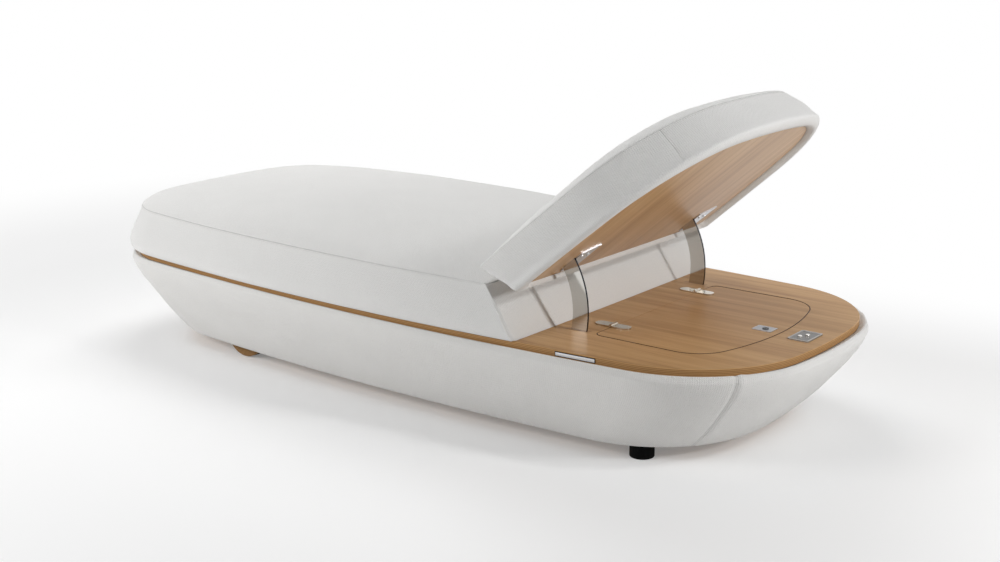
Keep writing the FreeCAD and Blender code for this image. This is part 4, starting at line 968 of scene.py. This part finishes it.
def raiseCrown(item, sizes, seam, first):
    points = pointsOf(item.data)
    flat = points.copy()
    flat[:, 2] = seam[0, 2]
    away = awayFrom(flat, sewnEdge(sizes, seam))
    cut = np.maximum(awayFromCut(sizes, points), 0.0)
    rise = (1.0 - np.exp(-away / sizes["crownSoft"])) * (1.0 - np.exp(-cut / sizes["cutSoft"]))
    spread = np.linspace(-pad["softReach"], pad["softReach"], pad["softSteps"])
    weights = np.exp(-spread ** 2)
    along = sum(weight * valueAt(points[:, 0] + step * pad["alongSoft"], sizes["crownAlong"])
                for step, weight in zip(spread, weights)) / np.sum(weights)
    points[first:, 2] = deck["top"] + sizes["seam"] + (sizes["crown"] * rise * along)[first:]
    setPoints(item.data, points)
    share = 1.0 - smoothStep(np.clip((away - pad["puffFrom"]) / pad["puffFade"], 0.0, 1.0))
    share[:first] = 1.0
    return share


# Held are the lowest rows, those beside the seam, and the last ring with all inside it

def heldSpots(count, firstRow, seamRow, lastRow, total):
    rows = list(range(firstRow + pad["heldLow"]))
    rows += range(seamRow - pad["heldBelow"], seamRow + pad["heldAbove"] + 1)
    return [row * count + spot for row in rows for spot in range(count)] + list(range(count * lastRow, total))


def sewnPad(name, sizes, rings, firstRow, cornerSpot):
    count = len(rings[0])
    seamRow = firstRow + len(sizes["rows"]) - 1
    item = meshFromRings(name, rings, pad["fillSteps"], seamRow)
    outward(item, sizes["middle"])
    share = raiseCrown(item, sizes, np.array(rings[seamRow]), count * (seamRow + 1))
    held = heldSpots(count, firstRow, seamRow, len(rings) - 1, len(item.data.vertices))
    puffCloth(item, held, sizes["puff"], sizes["pressure"], share)
    points = pointsOf(item.data)
    levels = points[:count * len(rings)].reshape(len(rings), count, 3)
    seam = levels[seamRow].copy()
    below = levels[seamRow - pad["stitchRow"]].copy()
    corners = [levels[firstRow + sizes["sideFrom"]:seamRow + 1, spot].copy()
               for spot in (cornerSpot, count - cornerSpot)]
    subdivided(item)
    markSeams(item, [(seam, True)] + [(corner, False) for corner in corners],
              pad["seamDepth"], pad["seamWidth"])
    stitchRow = surfacePath(item, below, pad["stitchLift"])
    pipings = [surfacePath(item, corner, pad["pipingLift"], closed=False) for corner in corners]
    if sizes["tilted"]:
        setPoints(item.data, tiltUp(pointsOf(item.data)))
        stitchRow = tiltUp(stitchRow)
        pipings = [tiltUp(path) for path in pipings]
    item.data.materials.append(materials["padCloth"])
    stitches = alongPaths(name + "Stitches", stitchTree, [(stitchRow, True)],
                          {"Pitch": pad["pitch"], "Length": pad["stitch"], "Thickness": pad["thread"],
                           "Seed": 5, "Finish": materials["pipingCloth"]})
    piping = alongPaths(name + "Piping", pipingTree, [(path, False) for path in pipings],
                        {"Radius": pad["piping"], "Sides": pad["pipingSides"],
                         "Finish": materials["pipingCloth"]})
    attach(item, sizes["body"])
    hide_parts(*sizes["nodes"])
    for trim in (stitches, piping):
        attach(trim, sizes["body"])


mattress = {
    "body": "base", "nodes": ["mattress"], "tilted": False, "middle": (-0.3, 0.0, 0.33),
    "way": 1, "end": 0.482, "slant": 0.70, "seam": 0.121, "crown": 0.045, "crownSoft": 0.036,
    "cutSoft": 0.03, "counts": (40, 14, 104, 30, 34), "puff": 0.003, "pressure": 2.0, "sideFrom": 4,
    "swell": [(-1.05, 0.022), (-0.9, 0.020), (-0.6, 0.013), (-0.2, 0.009), (0.2, 0.006), (0.48, 0.003)],
    "drawIn": [(-1.05, 0.012), (-0.9, 0.008), (-0.6, 0.0), (0.1, 0.001), (0.3, 0.006), (0.48, 0.010)],
    "droop": [(-1.05, 0.002), (-0.8, 0.0045), (-0.4, 0.006), (0.1, 0.004), (0.45, 0.0015)],
    "crownAlong": [(-1.05, 0.62), (-0.9, 0.9), (-0.7, 1.13), (-0.4, 1.14), (-0.1, 0.96), (0.1, 0.73),
                   (0.3, 0.42), (0.42, 0.24), (0.48, 0.16)],
    "rows": [(0.0003, 0.014, 0.0, 0.0, 0.0), (0.0003, 0.004, 0.0, 0.0, 0.0), (0.0006, 0.001, 0.0, 0.0, 0.0),
             (0.0008, -0.0015, 0.12, 0.7, 0.0), (0.0012, -0.0032, 0.38, 1.0, 0.0),
             (0.0045, -0.0045, 0.68, 0.85, 0.0), (0.011, -0.005, 0.9, 0.5, 0.0),
             (0.021, -0.005, 1.0, 0.25, 0.03), (0.034, -0.0035, 0.98, 0.08, 0.08),
             (0.048, -0.0015, 0.88, 0.0, 0.15), (0.063, 0.0002, 0.68, 0.0, 0.27),
             (0.078, 0.0015, 0.46, 0.0, 0.43), (0.092, 0.0022, 0.26, 0.0, 0.62),
             (0.103, 0.0027, 0.12, 0.0, 0.8), (0.1115, 0.003, 0.04, 0.0, 0.93),
             (0.1165, 0.0032, 0.0, 0.0, 0.98), (0.119, 0.0034, 0.0, 0.0, 1.0),
             (0.1202, 0.0036, 0.0, 0.0, 1.0), (0.121, 0.0040, 0.0, 0.0, 1.0)]}


def makeMattress():
    cornerSpot = mattress["counts"][0] + mattress["counts"][1] // 2
    sewnPad("mattressPad", mattress, padRings(mattress), 0, cornerSpot)


makeMattress()
print("mattress made")

# The backrest's pad with its rolled border, drawn flat and then turned up

backPad = {
    "body": "backrest", "nodes": ["backrest_cushion", "backrest_border"], "tilted": True,
    "middle": (0.75, 0.0, 0.33), "way": -1, "end": 0.493, "slant": 0.5636, "seam": 0.107, "crown": 0.038,
    "crownSoft": 0.040, "cutSoft": 0.05, "counts": (34, 40, 50, 14, 40), "puff": 0.003, "pressure": 2.0,
    "sideFrom": 5, "sideSeamAt": 0.963,
    "swell": [(0.4, 0.002), (0.8, 0.003), (0.95, 0.010), (1.05, 0.023)],
    "drawIn": [(0.4, 0.0), (0.9, 0.0), (1.05, 0.012)], "droop": [(0.4, 0.0), (1.05, 0.0)],
    "crownAlong": [(0.40, 0.6), (0.55, 0.9), (0.8, 1.0), (1.05, 1.25)],
    "rows": [(0.0018, 0.010, 0.0, 0.0, 0.0), (0.0030, 0.0045, 0.15, 0.0, 0.0),
             (0.0060, 0.0015, 0.4, 0.0, 0.0), (0.0105, 0.0000, 0.65, 0.0, 0.0),
             (0.0155, 0.0012, 0.82, 0.0, 0.0), (0.0205, 0.0044, 0.92, 0.0, 0.0),
             (0.0260, 0.0076, 1.0, 0.0, 0.03), (0.0330, 0.0090, 1.0, 0.0, 0.06),
             (0.0430, 0.0088, 0.94, 0.0, 0.13), (0.0560, 0.0078, 0.78, 0.0, 0.28),
             (0.0700, 0.0080, 0.56, 0.0, 0.47), (0.0820, 0.0082, 0.34, 0.0, 0.65),
             (0.0920, 0.0084, 0.16, 0.0, 0.8), (0.0985, 0.0087, 0.06, 0.0, 0.9),
             (0.1025, 0.0089, 0.0, 0.0, 0.97), (0.1050, 0.0091, 0.0, 0.0, 1.0),
             (0.1062, 0.0093, 0.0, 0.0, 1.0), (0.107, 0.0095, 0.0, 0.0, 1.0)],
    "boardFoot": 0.495, "boardTip": 1.0185, "boardHalf": 0.392, "boardWideAt": 0.560, "boardSideRadius": 1.3,
    "boardHeadRadius": 1.265, "boardHeadCorner": 0.225, "boardFootCorner": 0.034, "boardGap": 0.0008,
    "boardRise": 0.001, "tuckShare": 0.6, "lipRings": 7, "lipBend": 0.7, "lipBulge": 0.002}


def boardRing(grow, height):
    head = (backPad["boardTip"] + grow, backPad["boardHeadRadius"] + grow, backPad["boardHeadCorner"] + grow)
    foot = (backPad["boardFoot"] - grow, pad["endRadius"] + grow, backPad["boardFootCorner"] + grow)
    half = halfRing(head, foot, backPad["boardSideRadius"] + grow, backPad["boardWideAt"],
                    backPad["boardHalf"] + grow, backPad["counts"])
    return fullRing(half, height)


# The border rolls from the pad's lowest row under the board's edge, and is tucked up beside it

def makeBackPad():
    rings = padRings(backPad)
    inner = boardRing(backPad["boardGap"], back["boardUnder"] + backPad["boardRise"])
    lip = []
    for share in np.linspace(0.0, 1.0, backPad["lipRings"], endpoint=False):
        bent = share ** backPad["lipBend"]
        ring = inner * (1 - share) + rings[0] * share
        bulge = math.sin(math.pi * share) * backPad["lipBulge"]
        ring[:, 2] = inner[0, 2] * (1 - bent) + rings[0][:, 2] * bent - bulge
        lip.append(ring)
    tucked = inner.copy()
    tucked[:, 2] += back["boardThick"] * backPad["tuckShare"]
    seamRing = rings[len(backPad["rows"]) - 1]
    half = seamRing[:len(seamRing) // 2]
    cornerSpot = int(np.argmin(np.abs(half[:, 0] - backPad["sideSeamAt"])))
    sewnPad("backPad", backPad, [tucked] + lip + rings, 1 + backPad["lipRings"], cornerSpot)


makeBackPad()
print("backrest pad made")

# A dark strip of painted shade in the gap round the lid, and a strip that fills the gap between its hinges

# Sizes of the dark strip of painted shade round the lid, and of the filler
shadeStripAndFiller = {"tip": 0.92975, "half": 0.27975, "foot": 0.59075, "endRadius": 0.70075, "corner": 0.09575,
        "footCorner": 0.02075, "counts": (24, 20, 9), "lastTurn": 0.94 * math.pi, "thickness": 0.0012,
        "height": 0.2548, "fillerHeight": 0.2543, "fillerEnd": 0.19, "fillerThickness": 0.0009, "sides": 8}


# The path of the dark strip of painted shade in the lid's gap
def gapShadePath():
    endMiddle = np.array([shadeStripAndFiller["tip"] - shadeStripAndFiller["endRadius"], 0.0])
    reach = shadeStripAndFiller["endRadius"] - shadeStripAndFiller["corner"]
    aside = shadeStripAndFiller["half"] - shadeStripAndFiller["corner"]
    middle = np.array([endMiddle[0] + math.sqrt(reach ** 2 - aside ** 2), aside])
    turn = angleOf(middle - endMiddle)
    low = np.array([shadeStripAndFiller["foot"] + shadeStripAndFiller["footCorner"], shadeStripAndFiller["half"] - shadeStripAndFiller["footCorner"]])
    counts = shadeStripAndFiller["counts"]
    half = np.concatenate([arcPoints(endMiddle, shadeStripAndFiller["endRadius"], 0.0, turn, counts[0]),
                           arcPoints(middle, shadeStripAndFiller["corner"], turn, math.pi / 2, counts[1]),
                           arcPoints(low, shadeStripAndFiller["footCorner"], math.pi / 2, shadeStripAndFiller["lastTurn"], counts[2])])
    near = half[1:][::-1] * np.array([1.0, -1.0])
    flat = np.concatenate([near, half])
    return np.column_stack([flat, np.full(len(flat), shadeStripAndFiller["height"])])


def makeGapShadeStrip():
    item = alongPaths("lidGapShadeStrip", pipingTree, [(gapShadePath(), False)],
                      {"Radius": shadeStripAndFiller["thickness"], "Sides": shadeStripAndFiller["sides"], "Finish": materials["lidGapShadeStrip"]})
    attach(item, "lid")


def makeFiller():
    line = [(shadeStripAndFiller["foot"], way * shadeStripAndFiller["fillerEnd"], shadeStripAndFiller["fillerHeight"]) for way in (-1, 0, 1)]
    item = alongPaths("lidFiller", pipingTree, [(line, False)],
                      {"Radius": shadeStripAndFiller["fillerThickness"], "Sides": shadeStripAndFiller["sides"],
                       "Finish": materials["lidFiller"]})
    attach(item, "base")


makeGapShadeStrip()
makeFiller()
print("seal made")

# Floor, light and camera. The floor is shaded near the object and pure white where it has faded out; its
# colour is darker towards the foot end, painted shade

studio = {"floorSize": 30.0, "floorTone": 0.96, "footShadeTone": 0.78, "footShadeTo": -2.2, "floorToneFrom": -0.7,
          "fadeStart": 1.25, "fadeEnd": 3.2, "glow": 0.2, "behindStart": 0.5, "behindEnd": 1.5,
          "roughness": 0.6, "specular": 0.1, "seenWorld": 1.0, "worldStrength": 0.15}
white = (1.0, 1.0, 1.0)


# 1 for the camera and for what mirrors or lets through, 0 for the light that falls on the object

def seenDirectly(tree):
    rays = addNode(tree, "ShaderNodeLightPath").outputs
    mirrored = mathNode(tree, "MAXIMUM", rays["Is Glossy Ray"], rays["Is Transmission Ray"])
    return mathNode(tree, "MAXIMUM", rays["Is Camera Ray"], mirrored)


def fadeNode(tree, value, start, stop, lowest=0.0):
    node = addNode(tree, "ShaderNodeMapRange", {"Value": value, "From Min": start, "From Max": stop,
                                                "To Min": lowest}, interpolation_type="SMOOTHSTEP")
    return node.outputs["Result"]


def makeFloorMaterial():
    material, tree = newMaterial("paleFloor")
    place = objectPlace(tree)
    parts = partsOf(tree, place)
    far = vectorNode(tree, "LENGTH", place).outputs["Value"]
    faded = mathNode(tree, "MAXIMUM",
                     fadeNode(tree, far, studio["fadeStart"], studio["fadeEnd"], studio["glow"]),
                     fadeNode(tree, parts["Y"], studio["behindStart"], studio["behindEnd"]))
    # Painted shade: the floor's colour darkens towards the foot end
    tone = addNode(tree, "ShaderNodeMapRange", {
        "Value": parts["X"], "From Min": studio["footShadeTo"], "From Max": studio["floorToneFrom"],
        "To Min": studio["footShadeTone"], "To Max": studio["floorTone"]}).outputs["Result"]
    finishMaterial(material, {"Base Color": tone, "Roughness": studio["roughness"],
                              "Specular IOR Level": studio["specular"]})
    glow = addNode(tree, "ShaderNodeEmission", {"Color": white, "Strength": 1.0})
    mix = addNode(tree, "ShaderNodeMixShader", {
        "Fac": mathNode(tree, "MULTIPLY", faded, seenDirectly(tree)),
        1: tree.nodes["Principled BSDF"].outputs[0], 2: glow.outputs[0]})
    feed(tree, tree.nodes["Material Output"].inputs["Surface"], mix.outputs[0])
    return material


def makeFloor():
    mesh = bpy.data.meshes.new("floor")
    half = studio["floorSize"] / 2
    corners = [(-half, -half, 0.0), (half, -half, 0.0), (half, half, 0.0), (-half, half, 0.0)]
    mesh.from_pydata(corners, [], [(0, 1, 2, 3)])
    mesh.materials.append(makeFloorMaterial())
    addObject("floor", mesh)


def makeWorld():
    world = bpy.data.worlds.new("studio")
    scene.world = world
    world.use_nodes = True
    tree = world.node_tree
    background = tree.nodes["Background"]
    more = studio["seenWorld"] - studio["worldStrength"]
    strength = mathNode(tree, "MULTIPLY_ADD", seenDirectly(tree), more, studio["worldStrength"])
    feed(tree, background.inputs["Color"], white)
    feed(tree, background.inputs["Strength"], strength)


# Each lamp's place, what it points at, its width and height, and its power

lamps = {"overhead": ((-0.5, 0.5, 3.4), (0.0, 0.0, 0.3), (3.2, 2.4), 12.0),
         "headSide": ((3.2, 0.2, 1.4), (0.45, 0.0, 0.35), (0.35, 0.35), 24.0),
         "headHigh": ((3.0, 0.2, 2.2), (0.45, 0.0, 0.35), (0.35, 0.35), 20.0),
         "footSide": ((-2.8, -2.0, 1.3), (-0.5, -0.2, 0.3), (1.2, 1.0), 17.0),
         "footNear": ((-1.6, -3.2, 2.0), (-0.3, 0.0, 0.2), (1.6, 1.2), 54.0),
         "farHigh": ((-1.6, 1.6, 2.8), (0.0, 0.0, 0.3), (2.4, 1.8), 62.0)}


def makeLamps():
    for name, (place, target, (width, height), power) in lamps.items():
        light = bpy.data.lights.new(name, "AREA")
        light.shape = "RECTANGLE"
        light.size = width
        light.size_y = height
        light.energy = power
        item = addObject(name, light)
        item.location = place
        item.rotation_euler = (Vector(target) - Vector(place)).to_track_quat("-Z", "Y").to_euler()


# The photo's camera; the azimuth is 0 when it looks along +Y

view = {"lens": 54.0, "sensor": 36.0, "azimuth": 37.394, "elevation": 14.657,
        "place": (2.4425, -3.0594, 1.2548)}


def makeCamera():
    camera = bpy.data.cameras.new("camera")
    camera.lens = view["lens"]
    camera.sensor_width = view["sensor"]
    item = addObject("camera", camera)
    azimuth, elevation = math.radians(view["azimuth"]), math.radians(view["elevation"])
    forward = Vector((-math.sin(azimuth) * math.cos(elevation), math.cos(azimuth) * math.cos(elevation),
                      -math.sin(elevation)))
    item.location = view["place"]
    item.rotation_euler = forward.to_track_quat("-Z", "Y").to_euler()
    scene.camera = item


makeFloor()
makeWorld()
makeLamps()
makeCamera()
scene.view_settings.view_transform = "Standard"
print("stage set")
